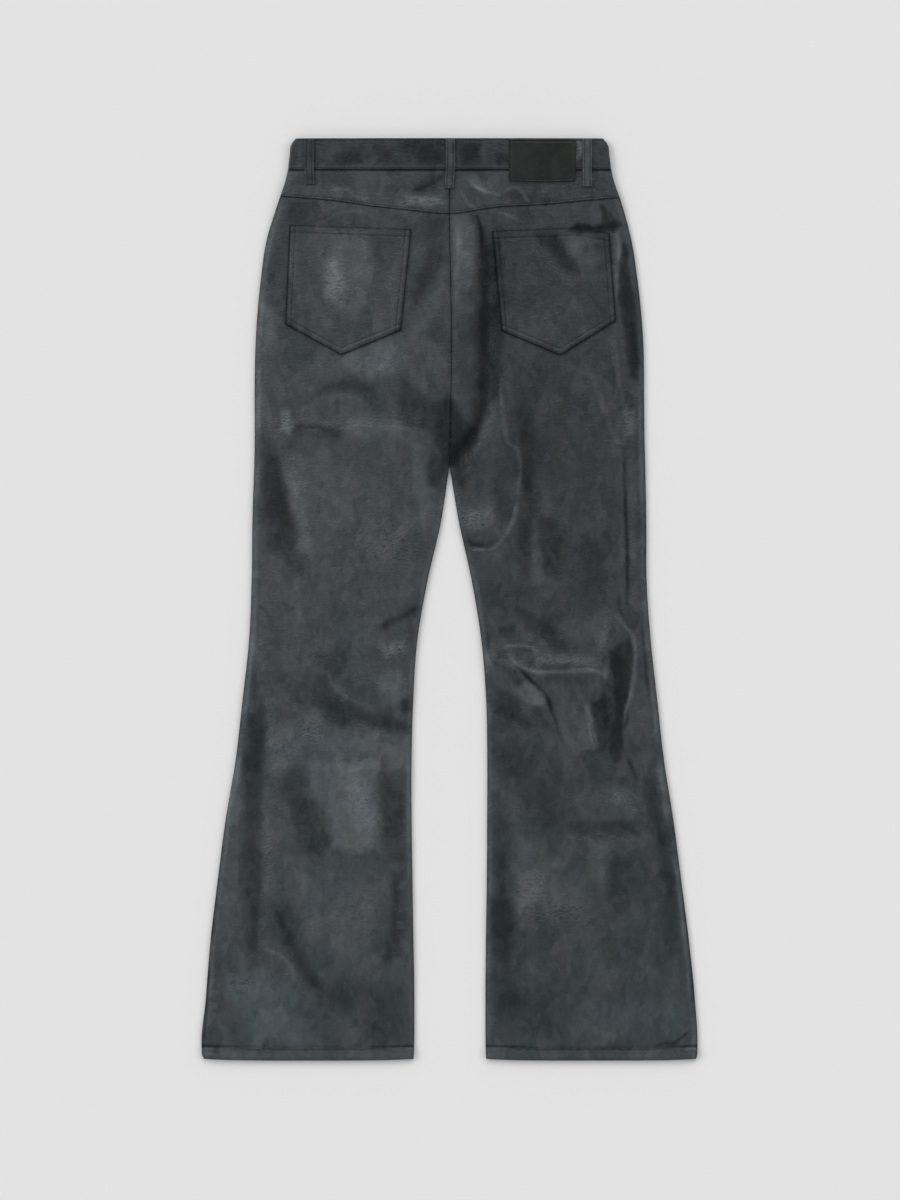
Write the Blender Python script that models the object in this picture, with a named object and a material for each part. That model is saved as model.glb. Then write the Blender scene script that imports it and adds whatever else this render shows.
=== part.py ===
"""Flared leather trousers of jeans cut, laid flat with the back uppermost.

The garment lies on the plane z = 0 with its waist towards +Y, its hems towards -Y and +X to
the right of someone looking down on it. The origin is on that plane, at mid width and mid
length. The front panels lie on the plane, and the back panels, yokes, pockets, waistband,
belt loops and patch lie on them. Sizes are in millimetres and become metres in add_solid.
"across" is the distance to the right of the centre line, and "up" the height above the hem.
"""
from collections import namedtuple

import bmesh
import bpy
import numpy as np
from mathutils import Vector

MM = 0.001
LENGTH = 1171.0         # waist edge to hem edge
GAP = 0.3               # between pieces that touch or are sewn together
CLOTH = 1.3             # one layer of leather
HEM_WIDTH = 15.0        # turned-up edge of each leg
HEM_EXTRA = 1.1         # the turned-up layer
HEM_BOW = 2.0           # the hem's corners lie this much higher than its middle
BAND_THICK = 2.2        # two layers of leather
BAND_SEAM = 1130.6      # height of the seam between yokes and waistband
LOOP_THICK = 1.7
LOOP_WIDTH = 12.0
PATCH_THICK = 1.2
POCKET_THICK = 1.2
FRONT_LIFT = 2.0        # the front belt loops and the button lie under the waistband
FRONT_DIP = 18.0        # the front waist is cut lower than the back
BUTTON_RADIUS = 8.5
BUTTON_THICK = 1.7
LAP = 20.0              # how far the waistband's ends reach past the centre front
BAND_HALF = 203.0       # half width of the waistband between its side folds
WAIST_HALF = 206.0      # and with them
Station = namedtuple("Station", "share bulge height dip")
BAND_ROWS = (BAND_SEAM + GAP / 2, 1149.0, 1161.0, 1168.0, LENGTH)

# One row for each cross-section of the trousers, from the hem to the waist edge.
# loft: clear height between the front and back layers at mid panel
# roll: width over which the back layer bends down to its edge
Section = namedtuple("Section", "up left_out left_in right_in right_out loft roll")
SECTIONS = (
    Section(0.0, -310.5, -46.0, 46.8, 312.5, 1.4, 12.0),
    Section(6.0, -314.0, -45.3, 46.0, 314.4, 1.5, 12.0),
    Section(14.0, -314.9, -45.0, 45.8, 314.9, 1.6, 12.0),
    Section(77.0, -309.9, -44.5, 45.4, 311.8, 2.0, 14.0),
    Section(153.0, -303.7, -45.7, 46.0, 304.1, 2.3, 16.0),
    Section(229.0, -294.6, -46.9, 47.2, 294.4, 2.5, 18.0),
    Section(305.0, -284.7, -48.1, 47.6, 284.5, 2.6, 18.0),
    Section(381.0, -272.0, -48.1, 47.8, 272.6, 2.8, 18.0),
    Section(458.0, -263.1, -46.0, 46.3, 264.0, 3.0, 18.0),
    Section(534.0, -254.8, -40.7, 40.2, 255.6, 3.0, 18.0),
    Section(610.0, -251.5, -27.7, 27.9, 250.5, 3.0, 18.0),
    Section(686.0, -250.5, -10.4, 11.4, 250.1, 3.0, 18.0),
    Section(737.0, -248.9, -2.7, 2.9, 249.1, 3.0, 18.0),
    Section(756.0, -248.2, 0.0, 0.0, 248.7, 3.0, 18.0),
    Section(788.0, -247.6, 0.0, 0.0, 247.8, 3.0, 18.0),
    Section(839.0, -247.7, 0.0, 0.0, 247.3, 3.0, 18.0),
    Section(915.0, -246.3, 0.0, 0.0, 246.1, 3.1, 20.0),
    Section(991.0, -240.0, 0.0, 0.0, 239.0, 3.2, 26.0),
    Section(1042.0, -232.5, 0.0, 0.0, 231.2, 3.2, 34.0),
    Section(1093.0, -216.7, 0.0, 0.0, 217.2, 3.2, 46.0),
    Section(1118.0, -208.4, 0.0, 0.0, 208.6, 3.2, 56.0),
    Section(1131.0, -205.5, 0.0, 0.0, 205.7, 3.2, 60.0),
    Section(1149.0, -203.2, 0.0, 0.0, 203.2, 3.2, 60.0),
    Section(1164.0, -200.7, 0.0, 0.0, 200.6, 3.2, 60.0),
    Section(1171.0, -195.6, 0.0, 0.0, 195.2, 3.2, 60.0),
)
CROTCH = 756.0
SEAM_BOW = 2.4
SEAM_BOW_LENGTH = 300.0

# The yoke seam, a shallow V across both back panels.
SeamPoint = namedtuple("SeamPoint", "across up")
YOKE_SEAM = (
    SeamPoint(-216.0, 1097.0),
    SeamPoint(-143.0, 1091.0),
    SeamPoint(-98.0, 1084.5),
    SeamPoint(-55.0, 1080.0),
    SeamPoint(0.0, 1075.0),
    SeamPoint(58.0, 1083.0),
    SeamPoint(119.0, 1086.5),
    SeamPoint(163.0, 1090.5),
    SeamPoint(216.0, 1095.5),
)

# The largest folds of the back. height > 0 is a ridge, height < 0 a trough. Each runs from
# (from_across, from_up) to (to_across, to_up), bowed sideways by bow, half_width wide.
Fold = namedtuple("Fold", "from_across from_up to_across to_up bow half_width height")
FOLDS = (
    # left seat and thigh
    Fold(-226, 826, -14, 834, -4, 17, -2.0),
    Fold(-222, 792, -20, 797, 4, 14, 1.8),
    Fold(-234, 790, -188, 612, 10, 15, -2.4),
    Fold(-206, 770, -166, 640, 8, 18, 2.0),
    Fold(-70, 760, -62, 560, -8, 24, 2.0),
    # left knee and flare
    Fold(-160, 492, -48, 420, -18, 12, -2.4),
    Fold(-180, 520, -70, 462, -10, 16, 2.4),
    Fold(-140, 430, -70, 240, 6, 26, 2.6),
    Fold(-243, 490, -238, 400, 4, 11, -1.8),
    Fold(-240, 415, -252, 110, 6, 11, -2.0),
    Fold(-226, 210, -190, 90, 3, 13, -1.9),
    Fold(-84, 376, -66, 120, -4, 14, -2.0),
    Fold(-200, 330, -205, 60, -8, 20, 1.9),
    # centre, right seat and thigh
    Fold(34, 1074, 44, 930, 5, 11, -2.0),
    Fold(43, 950, 42, 790, 4, 12, -2.6),
    Fold(46, 812, 2, 754, -8, 15, -2.6),
    Fold(68, 1010, 74, 800, 6, 16, 1.8),
    Fold(214, 1064, 236, 884, 6, 9, -2.2),
    Fold(106, 1052, 162, 986, 3, 13, -1.6),
    Fold(66, 836, 62, 640, -26, 17, 3.4),
    Fold(14, 664, 66, 645, 0, 10, -2.4),
    Fold(120, 800, 140, 590, 8, 22, -1.8),
    Fold(226, 806, 231, 530, -3, 10, -2.2),
    # right knee and flare
    Fold(44, 514, 100, 500, -10, 10, 3.8),
    Fold(98, 498, 196, 492, 5, 12, 4.2),
    Fold(68, 524, 150, 396, -8, 11, 3.6),
    Fold(150, 492, 192, 396, -6, 12, 3.0),
    Fold(206, 524, 200, 380, 8, 13, -2.8),
    Fold(84, 548, 150, 552, -5, 14, -2.6),
    Fold(216, 574, 220, 386, -22, 10, 3.2),
    Fold(44, 484, 100, 440, 4, 13, -2.4),
    Fold(140, 294, 240, 294, 2, 13, -2.2),
    Fold(130, 322, 244, 318, 0, 15, 2.2),
    Fold(190, 260, 214, 60, 5, 22, 2.0),
    Fold(96, 370, 84, 110, 3, 20, 1.8),
)

# Rows of the panels' grids: up to each height, in this many equal steps.
RowBand = namedtuple("RowBand", "to_up steps")
LEG_ROWS = (
    RowBand(7.0, 1), RowBand(14.0, 1), RowBand(18.0, 1), RowBand(380.0, 14), RowBand(566.0, 17),
    RowBand(756.0, 11), RowBand(840.0, 6), RowBand(1000.0, 8),
)
SEAM_STEPS = 5          # rows between the last leg row and the yoke seam
EDGE_COLUMNS = (0.0, 4.0, 10.0)
MIDDLE_COLUMNS = 14
FRONT_ROWS = (
    RowBand(7.0, 1), RowBand(14.0, 1), RowBand(18.0, 1), RowBand(380.0, 6), RowBand(756.0, 10),
    RowBand(1042.0, 6),
)

Corner = namedtuple("Corner", "across up")
POCKET_LEFT = (
    Corner(-203.3, 1061.0), Corner(-48.4, 1055.6), Corner(-61.5, 927.6), Corner(-137.6, 896.0),
    Corner(-208.8, 934.9),
)
POCKET_RIGHT = (
    Corner(53.7, 1053.3), Corner(160.0, 1057.4), Corner(203.2, 1050.0), Corner(211.4, 939.8),
    Corner(140.4, 895.2), Corner(65.3, 926.5),
)
MOUTH_FROM = 150.0      # the right pocket's mouth stands open from here to its outer corner
MOUTH_LIFT = 2.2
MOUTH_LOW = 1022.0      # and from here up
SHARP_ANGLE = np.radians(40.0)
SLIVER = 0.8            # cut corners closer than this are joined

Loop = namedtuple("Loop", "name across lower_end lean")
BACK_LOOPS = (
    Loop("loop_back_centre", 1.2, 1107.0, -1.5),
    Loop("loop_back_left", -178.0, 1112.5, 1.0),
    Loop("loop_back_right", 174.7, 1109.5, 0.5),
)
FRONT_LOOPS = (
    Loop("loop_front_left", -118.0, 1103.0, 0.0),
    Loop("loop_front_right", 118.0, 1103.0, 0.0),
)
PATCH_LEFT = 75.4
PATCH_RIGHT = 160.0
PATCH_TOP = 1169.0
PATCH_BOTTOM = 1117.0
PATCH_BOW = 0.0009      # the lower edge bows down in its middle

Finish = namedtuple("Finish", "name red green blue roughness metallic")
LEATHER = Finish("leather", 0.045, 0.050, 0.056, 0.48, 0.0)
PATCH_LEATHER = Finish("patch_leather", 0.022, 0.024, 0.022, 0.42, 0.0)
BUTTON_METAL = Finish("button_metal", 0.10, 0.10, 0.11, 0.35, 1.0)


def remove_everything():
    for item in list(bpy.data.objects):
        bpy.data.objects.remove(item, do_unlink=True)


def material(finish):
    """The finish's material, made once."""
    found = bpy.data.materials.get(finish.name)
    if found:
        return found
    made = bpy.data.materials.new(finish.name)
    made.use_nodes = True
    shader = made.node_tree.nodes["Principled BSDF"]
    shader.inputs["Base Color"].default_value = (finish.red, finish.green, finish.blue, 1.0)
    shader.inputs["Roughness"].default_value = finish.roughness
    shader.inputs["Metallic"].default_value = finish.metallic
    return made


# ---- curves and sections

def smooth_step(low, high, value):
    t = np.clip((value - low) / (high - low), 0.0, 1.0)
    return t * t * (3.0 - 2.0 * t)


def through_points(stations, values, at):
    """A smooth curve through (station, value) pairs, read at the given stations."""
    stations = np.asarray(stations, float)
    values = np.asarray(values, float)
    slopes = np.gradient(values, stations)
    at = np.clip(at, stations[0], stations[-1])
    i = np.clip(np.searchsorted(stations, at) - 1, 0, len(stations) - 2)
    span = stations[i + 1] - stations[i]
    t = (at - stations[i]) / span
    start = (1 + 2 * t) * (1 - t) ** 2 * values[i] + t * (1 - t) ** 2 * span * slopes[i]
    end = t * t * (3 - 2 * t) * values[i + 1] + t * t * (t - 1) * span * slopes[i + 1]
    return start + end


def section(column, up):
    return through_points([row.up for row in SECTIONS], [getattr(row, column) for row in SECTIONS], up)


def outer_edge(side, up):
    return section("left_out" if side < 0 else "right_out", up)


def centre_seam(up):
    """The centre back seam, which bows a little to the right over the seat."""
    rise = np.clip((up - CROTCH) / SEAM_BOW_LENGTH, 0.0, 1.0)
    return SEAM_BOW * np.sin(np.pi * rise)


def seam_side(side, up):
    """The inseam up to the crotch, and the centre seam above it."""
    inseam = section("left_in" if side < 0 else "right_in", up)
    return np.where(up < CROTCH, inseam, centre_seam(up))


def inner_edge(side, up):
    """A panel's own inner edge, half the seam gap from the seam."""
    return seam_side(side, up) + side * GAP / 2


def yoke_seam(across):
    return through_points([p.across for p in YOKE_SEAM], [p.up for p in YOKE_SEAM], across)


def front_waist(across):
    """The height of the front waist seam, lowest at the centre."""
    return BAND_SEAM - front_dip(across / WAIST_HALF)


# ---- the height of each layer at a point

def hem(up):
    return HEM_EXTRA * smooth_step(HEM_WIDTH + 3.0, HEM_WIDTH - 1.0, up)


def front_underside(up):
    return FRONT_LIFT * smooth_step(1050.0, 1100.0, up)


def front_top(up):
    return front_underside(up) + CLOTH + hem(up)


def fold_height(across, up):
    total = np.zeros(np.broadcast(across, up).shape)
    for fold in FOLDS:
        run = np.array((fold.to_across - fold.from_across, fold.to_up - fold.from_up), float)
        length = np.linalg.norm(run)
        run = run / length
        offset_across = across - fold.from_across
        offset_up = up - fold.from_up
        along = (offset_across * run[0] + offset_up * run[1]) / length
        aside = offset_up * run[0] - offset_across * run[1]
        aside = aside - 4.0 * fold.bow * along * (1.0 - along)
        ends = smooth_step(-0.08, 0.25, along) * smooth_step(1.08, 0.75, along)
        total = total + fold.height * ends * np.exp(-(aside / fold.half_width) ** 2)
    return total


def crown(distance, width):
    """0 at an edge, rising as a quarter of an ellipse to 1 at the given width."""
    t = np.clip(distance / width, 0.0, 1.0)
    return np.sqrt(1.0 - (1.0 - t) ** 2)


def back_underside(across, up):
    side = np.where(across < 0.0, -1.0, 1.0)
    to_outer = np.where(side < 0, across - outer_edge(-1, up), outer_edge(1, up) - across)
    to_inner = np.where(side < 0, seam_side(-1, up) - across, across - seam_side(1, up))
    roll = section("roll", up)
    at_outer = crown(to_outer, roll)
    open_leg = smooth_step(CROTCH + 90.0, CROTCH - 20.0, up)
    at_inner = 1.0 - open_leg * (1.0 - crown(to_inner, roll))
    rounded = at_outer * at_inner
    lofted = (section("loft", up) + fold_height(across, up)) * rounded
    return front_top(up) + GAP + np.maximum(lofted, 0.0)


def back_top(across, up):
    return back_underside(across, up) + CLOTH + hem(up)


def band_crown(across):
    return 1.0 - np.clip(np.abs(across) / BAND_HALF, 0.0, 1.0) ** 3


def band_back_underside(across):
    """Just over the front at the sides, and over the lapped ends in the middle."""
    return 2.0 * BAND_THICK + GAP + (BAND_THICK + GAP) * band_crown(across)


def band_back_top(across):
    return band_back_underside(across) + BAND_THICK


# ---- solids

def add_solid(name, mesh_data, finish):
    """Adds a closed bmesh, in millimetres with up above the hem as Y, as an object."""
    bmesh.ops.remove_doubles(mesh_data, verts=mesh_data.verts, dist=0.0001)
    bmesh.ops.recalc_face_normals(mesh_data, faces=mesh_data.faces)
    for vert in mesh_data.verts:
        vert.co = Vector((vert.co.x, vert.co.y - LENGTH / 2.0, vert.co.z)) * MM
    mesh = bpy.data.meshes.new(name)
    mesh_data.to_mesh(mesh)
    mesh_data.free()
    mesh.materials.append(material(finish))
    mesh.shade_smooth()
    mesh.set_sharp_from_angle(angle=SHARP_ANGLE)
    solid = bpy.data.objects.new(name, mesh)
    bpy.context.collection.objects.link(solid)
    return solid


def add_points(mesh_data, across, up, heights):
    rows, columns = across.shape
    return [
        [mesh_data.verts.new((across[r, c], up[r, c], heights[r, c])) for c in range(columns)]
        for r in range(rows)
    ]


def add_faces(mesh_data, grid):
    """Two triangles for each cell, so that pieces made from one grid fit on each other."""
    for low_row, high_row in zip(grid, grid[1:]):
        for c in range(len(low_row) - 1):
            mesh_data.faces.new((low_row[c], low_row[c + 1], high_row[c + 1]))
            mesh_data.faces.new((low_row[c], high_row[c + 1], high_row[c]))


def close_rim(shell, grids):
    """Joins two grids along their rims, which makes a closed wall of them."""
    rows = len(grids[0])
    columns = len(grids[0][0])
    rim = [(0, c) for c in range(columns)]
    rim += [(r, columns - 1) for r in range(1, rows)]
    rim += [(rows - 1, c) for c in range(columns - 2, -1, -1)]
    rim += [(r, 0) for r in range(rows - 2, 0, -1)]
    bottom, top = grids
    for (r0, c0), (r1, c1) in zip(rim, rim[1:] + rim[:1]):
        shell.faces.new((bottom[r0][c0], bottom[r1][c1], top[r1][c1], top[r0][c0]))


def wall(across, up, lower, upper):
    """A closed wall over a grid of points, between its lower and upper heights."""
    shell = bmesh.new()
    grids = [add_points(shell, across, up, heights) for heights in (lower, upper)]
    for grid in grids:
        add_faces(shell, grid)
    close_rim(shell, grids)
    return shell


def heights_of_rows(bands):
    heights = [0.0]
    for band in bands:
        step = (band.to_up - heights[-1]) / band.steps
        heights += [heights[-1] + step * (n + 1) for n in range(band.steps)]
    return np.array(heights)


def columns_between(outer, inner, edges, middle):
    """Points from one edge to the other, close together near both."""
    width = abs(inner - outer)
    near = [distance / width for distance in edges]
    spread = np.linspace(near[-1], 1.0 - near[-1], middle + 1)
    fractions = near[:-1] + list(spread) + [1.0 - value for value in reversed(near[:-1])]
    return outer + np.array(fractions) * (inner - outer)


def panel_grid(side, bands, edges, middle, top_edge, top_steps, inset):
    """The points of a leg panel: level rows up the leg, then rows that bend to its top edge."""
    grid_across = []
    grid_up = []
    for up in heights_of_rows(bands):
        outer = outer_edge(side, up) - side * inset
        inner = inner_edge(side, up) + side * inset * (up < CROTCH)
        grid_across.append(columns_between(outer, inner, edges, middle))
        grid_up.append(np.full(len(grid_across[-1]), up))
    from_middle = 2.0 * (grid_across[0] - outer_edge(side, 0.0)) / (inner - outer) - 1.0
    grid_up[0] = grid_up[0] + HEM_BOW * from_middle ** 4
    start = grid_up[-1][0]
    for step in range(1, top_steps + 1):
        rise = step / top_steps
        across = grid_across[-1]
        for _ in range(3):
            up = start + (top_edge(across) - GAP / 2 - start) * rise
            outer = outer_edge(side, up[0]) - side * inset
            inner = inner_edge(side, up[-1])
            across = columns_between(float(outer), float(inner), edges, middle)
        grid_across.append(across)
        grid_up.append(up)
    return np.array(grid_across), np.array(grid_up)


def back_panel(name, side):
    across, up = panel_grid(side, LEG_ROWS, EDGE_COLUMNS, MIDDLE_COLUMNS, yoke_seam, SEAM_STEPS, 0.0)
    shell = wall(across, up, back_underside(across, up), back_top(across, up))
    return add_solid(name, shell, LEATHER)


def front_panel(name, side):
    across, up = panel_grid(side, FRONT_ROWS, (0.0,), 4, front_waist, 4, 0.6)
    shell = wall(across, up, front_underside(up), front_top(up))
    return add_solid(name, shell, LEATHER)


def band_between(side, low_edge, high_edge, rows, middle):
    """The points of a piece between two edges that run across, given as heights."""
    grid_across = []
    grid_up = []
    across = columns_between(side * 210.0, 0.0, EDGE_COLUMNS, middle)
    for rise in np.linspace(0.0, 1.0, rows):
        for _ in range(3):
            up = low_edge(across) + (high_edge(across) - low_edge(across)) * rise
            outer = float(outer_edge(side, up[0]))
            inner = float(inner_edge(side, up[-1]))
            across = columns_between(outer, inner, EDGE_COLUMNS, middle)
        grid_across.append(across)
        grid_up.append(up)
    return np.array(grid_across), np.array(grid_up)


def yoke(name, side):
    def above_yoke_seam(across):
        return yoke_seam(across) + GAP / 2

    def below_waistband(across):
        return np.full(across.shape, BAND_SEAM - GAP / 2)

    across, up = band_between(side, above_yoke_seam, below_waistband, 4, 9)
    shell = wall(across, up, back_underside(across, up), back_top(across, up))
    return add_solid(name, shell, LEATHER)


# ---- the waistband, loops, pockets, patch and button

def front_dip(share):
    """How much lower than the back the front waist lies, at a share of its half width."""
    return FRONT_DIP * (1.0 - share ** 2)


def band_path():
    """The waistband's middle line, seen along the garment: once round from the outer lap.

    The line runs over the front to the left side fold, over the back to the right side fold,
    and over the front again to the inner lap, which the outer one lies under.
    """
    front = FRONT_LIFT + BAND_THICK / 2
    lap = LAP / BAND_HALF
    back_edge = float(band_back_underside(BAND_HALF)) + BAND_THICK / 2
    radius = (back_edge - front) / 2
    turns = np.radians((45.0, 90.0, 135.0))
    path = [Station(share, 0.0, front, front_dip(share)) for share in (lap, 0.0, -0.25, -0.5, -0.75, -1.0)]
    path += [Station(-1.0, -radius * np.sin(a), front + radius * (1 - np.cos(a)), 0.0) for a in turns]
    for share in np.linspace(-1.0, 1.0, 15):
        height = float(band_back_underside(share * BAND_HALF)) + BAND_THICK / 2
        path.append(Station(share, 0.0, height, 0.0))
    path += [Station(1.0, radius * np.sin(a), front + radius * (1 + np.cos(a)), 0.0) for a in turns]
    for share in (1.0, 0.75, 0.5, 0.35, 0.26, 0.2, lap * 1.25, 0.0, -lap):
        rise = (BAND_THICK + GAP) * float(smooth_step(70.0, 30.0, share * BAND_HALF))
        path.append(Station(share, 0.0, front + rise, front_dip(share)))
    return path, radius + BAND_THICK / 2


def waistband():
    path, side_radius = band_path()
    share, bulge, height, dip = (np.array(column) for column in zip(*path))
    surfaces = [[], []]
    for row_up in BAND_ROWS:
        half = np.where(share < 0, -outer_edge(-1, row_up), outer_edge(1, row_up)) - side_radius
        across = share * half + bulge
        run = np.gradient(np.stack((across, height)), axis=1)
        run = run / np.linalg.norm(run, axis=0)
        for surface, offset in zip(surfaces, (BAND_THICK / 2, -BAND_THICK / 2)):
            surface.append((across - run[1] * offset, row_up - dip, height + run[0] * offset))
    shell = bmesh.new()
    grids = []
    for surface in surfaces:
        across, up, heights = (np.array(rows) for rows in zip(*surface))
        grids.append(add_points(shell, across, up, heights))
        add_faces(shell, grids[-1])
    close_rim(shell, grids)
    return add_solid("waistband", shell, LEATHER)


def strip(name, across, rows, finish):
    """A narrow strip along the garment: rows of (up, lower heights, thickness, lean)."""
    columns = across + LOOP_WIDTH * np.array((-0.5, 0.0, 0.5))
    grid_across = np.array([columns + lean for _, _, _, lean in rows])
    grid_up = np.array([np.full(3, up) for up, _, _, _ in rows])
    lower = np.array([heights for _, heights, _, _ in rows])
    upper = lower + np.array([[thick] for _, _, thick, _ in rows])
    return add_solid(name, wall(grid_across, grid_up, lower, upper), finish)


def back_loop(loop):
    """Sewn down on the yoke, bowed over the waistband and sewn again at the waist edge."""
    columns = loop.across + LOOP_WIDTH * np.array((-0.5, 0.0, 0.5))
    on_band = band_back_top(columns) + GAP
    rows = []
    for up in (loop.lower_end, loop.lower_end + 6.0, BAND_SEAM - 6.0):
        on_yoke = back_top(columns, np.full(3, up)) + GAP + 0.1
        lean = loop.lean * (BAND_SEAM - up) / (BAND_SEAM - loop.lower_end)
        rows.append((up, on_yoke, LOOP_THICK, lean))
    for up, bow in ((BAND_SEAM - 1.0, 0.2), (1138.0, 0.7), (1150.0, 1.0), (1162.0, 0.7), (1170.6, 0.1)):
        rows.append((up, on_band + bow, LOOP_THICK, 0.0))
    return strip(loop.name, loop.across, rows, LEATHER)


def front_loop(loop):
    """Pressed flat between the waistband and what the garment lies on."""
    top_end = front_waist(loop.across) + (LENGTH - BAND_SEAM) - 0.5
    rows = [(up, np.zeros(3), LOOP_THICK, 0.0) for up in (loop.lower_end, top_end)]
    return strip(loop.name, loop.across, rows, LEATHER)


def pocket(name, side, outline):
    """Cut from the panel's own upper surface, moved out and given its thickness."""
    across, up = panel_grid(side, LEG_ROWS, EDGE_COLUMNS, MIDDLE_COLUMNS, yoke_seam, SEAM_STEPS, 0.0)
    near = up[:, 0] > min(corner.up for corner in outline) - 40.0
    across = across[near]
    up = up[near]
    sheet = bmesh.new()
    add_faces(sheet, add_points(sheet, across, up, back_top(across, up)))
    centre_across = np.mean([corner.across for corner in outline])
    centre_up = np.mean([corner.up for corner in outline])
    for start, end in zip(outline, outline[1:] + outline[:1]):
        outward = Vector((end.up - start.up, start.across - end.across, 0.0)).normalized()
        if outward.dot(Vector((start.across - centre_across, start.up - centre_up, 0.0))) < 0.0:
            outward.negate()
        everything = sheet.verts[:] + sheet.edges[:] + sheet.faces[:]
        on_edge = (start.across, start.up, 0.0)
        bmesh.ops.bisect_plane(sheet, geom=everything, plane_co=on_edge, plane_no=outward, clear_outer=True)
    bmesh.ops.remove_doubles(sheet, verts=sheet.verts, dist=SLIVER)
    raised = bmesh.ops.extrude_face_region(sheet, geom=sheet.faces[:], use_keep_orig=True)["geom"]
    upper = {item for item in raised if isinstance(item, bmesh.types.BMVert)}
    for vert in sheet.verts:
        open_mouth = MOUTH_LIFT * float(
            smooth_step(MOUTH_FROM, MOUTH_FROM + 40.0, vert.co.x)
            * smooth_step(MOUTH_LOW, MOUTH_LOW + 28.0, vert.co.y)
        )
        vert.co.z += GAP + open_mouth + (POCKET_THICK if vert in upper else 0.0)
    return add_solid(name, sheet, LEATHER)


def patch():
    """Lies on the waistband and bends down a little over the yoke."""
    ups = np.array((PATCH_BOTTOM, 1120.0, 1126.0, BAND_SEAM + 1.0, 1150.0, PATCH_TOP))
    up, across = np.meshgrid(ups, np.linspace(PATCH_LEFT, PATCH_RIGHT, 7), indexing="ij")
    bowed = up - PATCH_BOW * (across - PATCH_LEFT) * (PATCH_RIGHT - across) * (up == PATCH_BOTTOM)
    on_band = band_back_top(across) + GAP
    on_yoke = back_top(across, np.minimum(up, BAND_SEAM)) + GAP
    lower = on_yoke + (on_band - on_yoke) * smooth_step(1108.0, BAND_SEAM - 2.0, up)
    return add_solid("patch", wall(across, bowed, lower, lower + PATCH_THICK), PATCH_LEATHER)


def waist_button():
    """A round button with a soft rim, on the outside of the lap."""
    centre_up = BAND_SEAM - FRONT_DIP + (LENGTH - BAND_SEAM) / 2
    disc = bmesh.new()
    bmesh.ops.create_cone(
        disc, cap_ends=True, segments=32, radius1=BUTTON_RADIUS, radius2=BUTTON_RADIUS,
        depth=BUTTON_THICK,
    )
    bmesh.ops.translate(disc, verts=disc.verts, vec=(0.0, centre_up, BUTTON_THICK / 2))
    rims = [edge for edge in disc.edges if abs(edge.verts[0].co.z - edge.verts[1].co.z) < 0.01]
    bmesh.ops.bevel(disc, geom=rims, offset=0.4, segments=2, profile=0.5, affect="EDGES")
    return add_solid("waist_button", disc, BUTTON_METAL)


def main():
    remove_everything()
    for side, word in ((-1, "left"), (1, "right")):
        back_panel("back_" + word, side)
        front_panel("front_" + word, side)
        yoke("yoke_" + word, side)
    waistband()
    for loop in BACK_LOOPS:
        back_loop(loop)
    for loop in FRONT_LOOPS:
        front_loop(loop)
    pocket("pocket_left", -1, POCKET_LEFT)
    pocket("pocket_right", 1, POCKET_RIGHT)
    patch()
    waist_button()


main()
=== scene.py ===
"""Looks of the flared leather jeans, laid flat with the back uppermost.

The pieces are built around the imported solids, in the same place: the garment lies on z = 0 with
its waist towards +Y. Sizes are in millimetres: "across" is the distance to the right of the
centre line, "up" the height above the hem, and a closed shell turns both into metres.
"""
from __future__ import annotations

import logging
import math
from dataclasses import dataclass
from enum import Enum
from typing import Callable, ClassVar, Sequence

import bpy
import numpy as np
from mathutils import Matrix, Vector

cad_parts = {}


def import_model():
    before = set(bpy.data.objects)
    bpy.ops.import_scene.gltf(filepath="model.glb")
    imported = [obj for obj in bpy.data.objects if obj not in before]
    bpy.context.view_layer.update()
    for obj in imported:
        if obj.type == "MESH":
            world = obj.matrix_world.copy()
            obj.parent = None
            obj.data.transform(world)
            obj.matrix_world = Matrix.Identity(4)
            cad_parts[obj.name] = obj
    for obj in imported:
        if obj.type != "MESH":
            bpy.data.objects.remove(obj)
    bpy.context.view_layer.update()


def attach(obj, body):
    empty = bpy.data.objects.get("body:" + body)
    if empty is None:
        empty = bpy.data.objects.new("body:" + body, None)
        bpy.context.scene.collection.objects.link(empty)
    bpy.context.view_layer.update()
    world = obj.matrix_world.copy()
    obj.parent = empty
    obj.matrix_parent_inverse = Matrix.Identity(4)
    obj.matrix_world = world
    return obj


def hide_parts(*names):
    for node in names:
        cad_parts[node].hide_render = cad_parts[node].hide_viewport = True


LOG = logging.getLogger("flared_jeans")
BODY = "root"
MM = 0.001
Array = np.ndarray
Line = Callable[[Array], Array]
Surface = Callable[[Array, Array], Array]
Point = tuple[float, float]
Colour = tuple[float, float, float]
SHARP_ANGLE = math.radians(48.0)


# ---- curves


def smooth_step(low: float, high: float, value: Array) -> Array:
    """Rises smoothly from 0 at low to 1 at high, or falls where low is the greater."""
    t = np.clip((value - low) / (high - low), 0.0, 1.0)
    return t * t * (3.0 - 2.0 * t)


def through_points(stations: Sequence[float], values: Sequence[float], at: Array) -> Array:
    """Reads a smooth curve through given points.

    Args:
        stations: Where the points are, in rising order.
        values: The curve's value at each of them.
        at: Where it is read.

    Returns:
        The values there.
    """
    stations = np.asarray(stations, float)
    values = np.asarray(values, float)
    slopes = np.gradient(values, stations)
    at = np.clip(at, stations[0], stations[-1])
    i = np.clip(np.searchsorted(stations, at) - 1, 0, len(stations) - 2)
    span = stations[i + 1] - stations[i]
    t = (at - stations[i]) / span
    start = (1 + 2 * t) * (1 - t) ** 2 * values[i] + t * (1 - t) ** 2 * span * slopes[i]
    end = t * t * (3 - 2 * t) * values[i + 1] + t * t * (t - 1) * span * slopes[i + 1]
    return start + end


def crown(distance: Array, width: Array) -> Array:
    """0 at an edge, rising as a quarter of an ellipse to 1 at the given width."""
    t = np.clip(distance / width, 0.0, 1.0)
    return np.sqrt(1.0 - (1.0 - t) ** 2)


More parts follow.
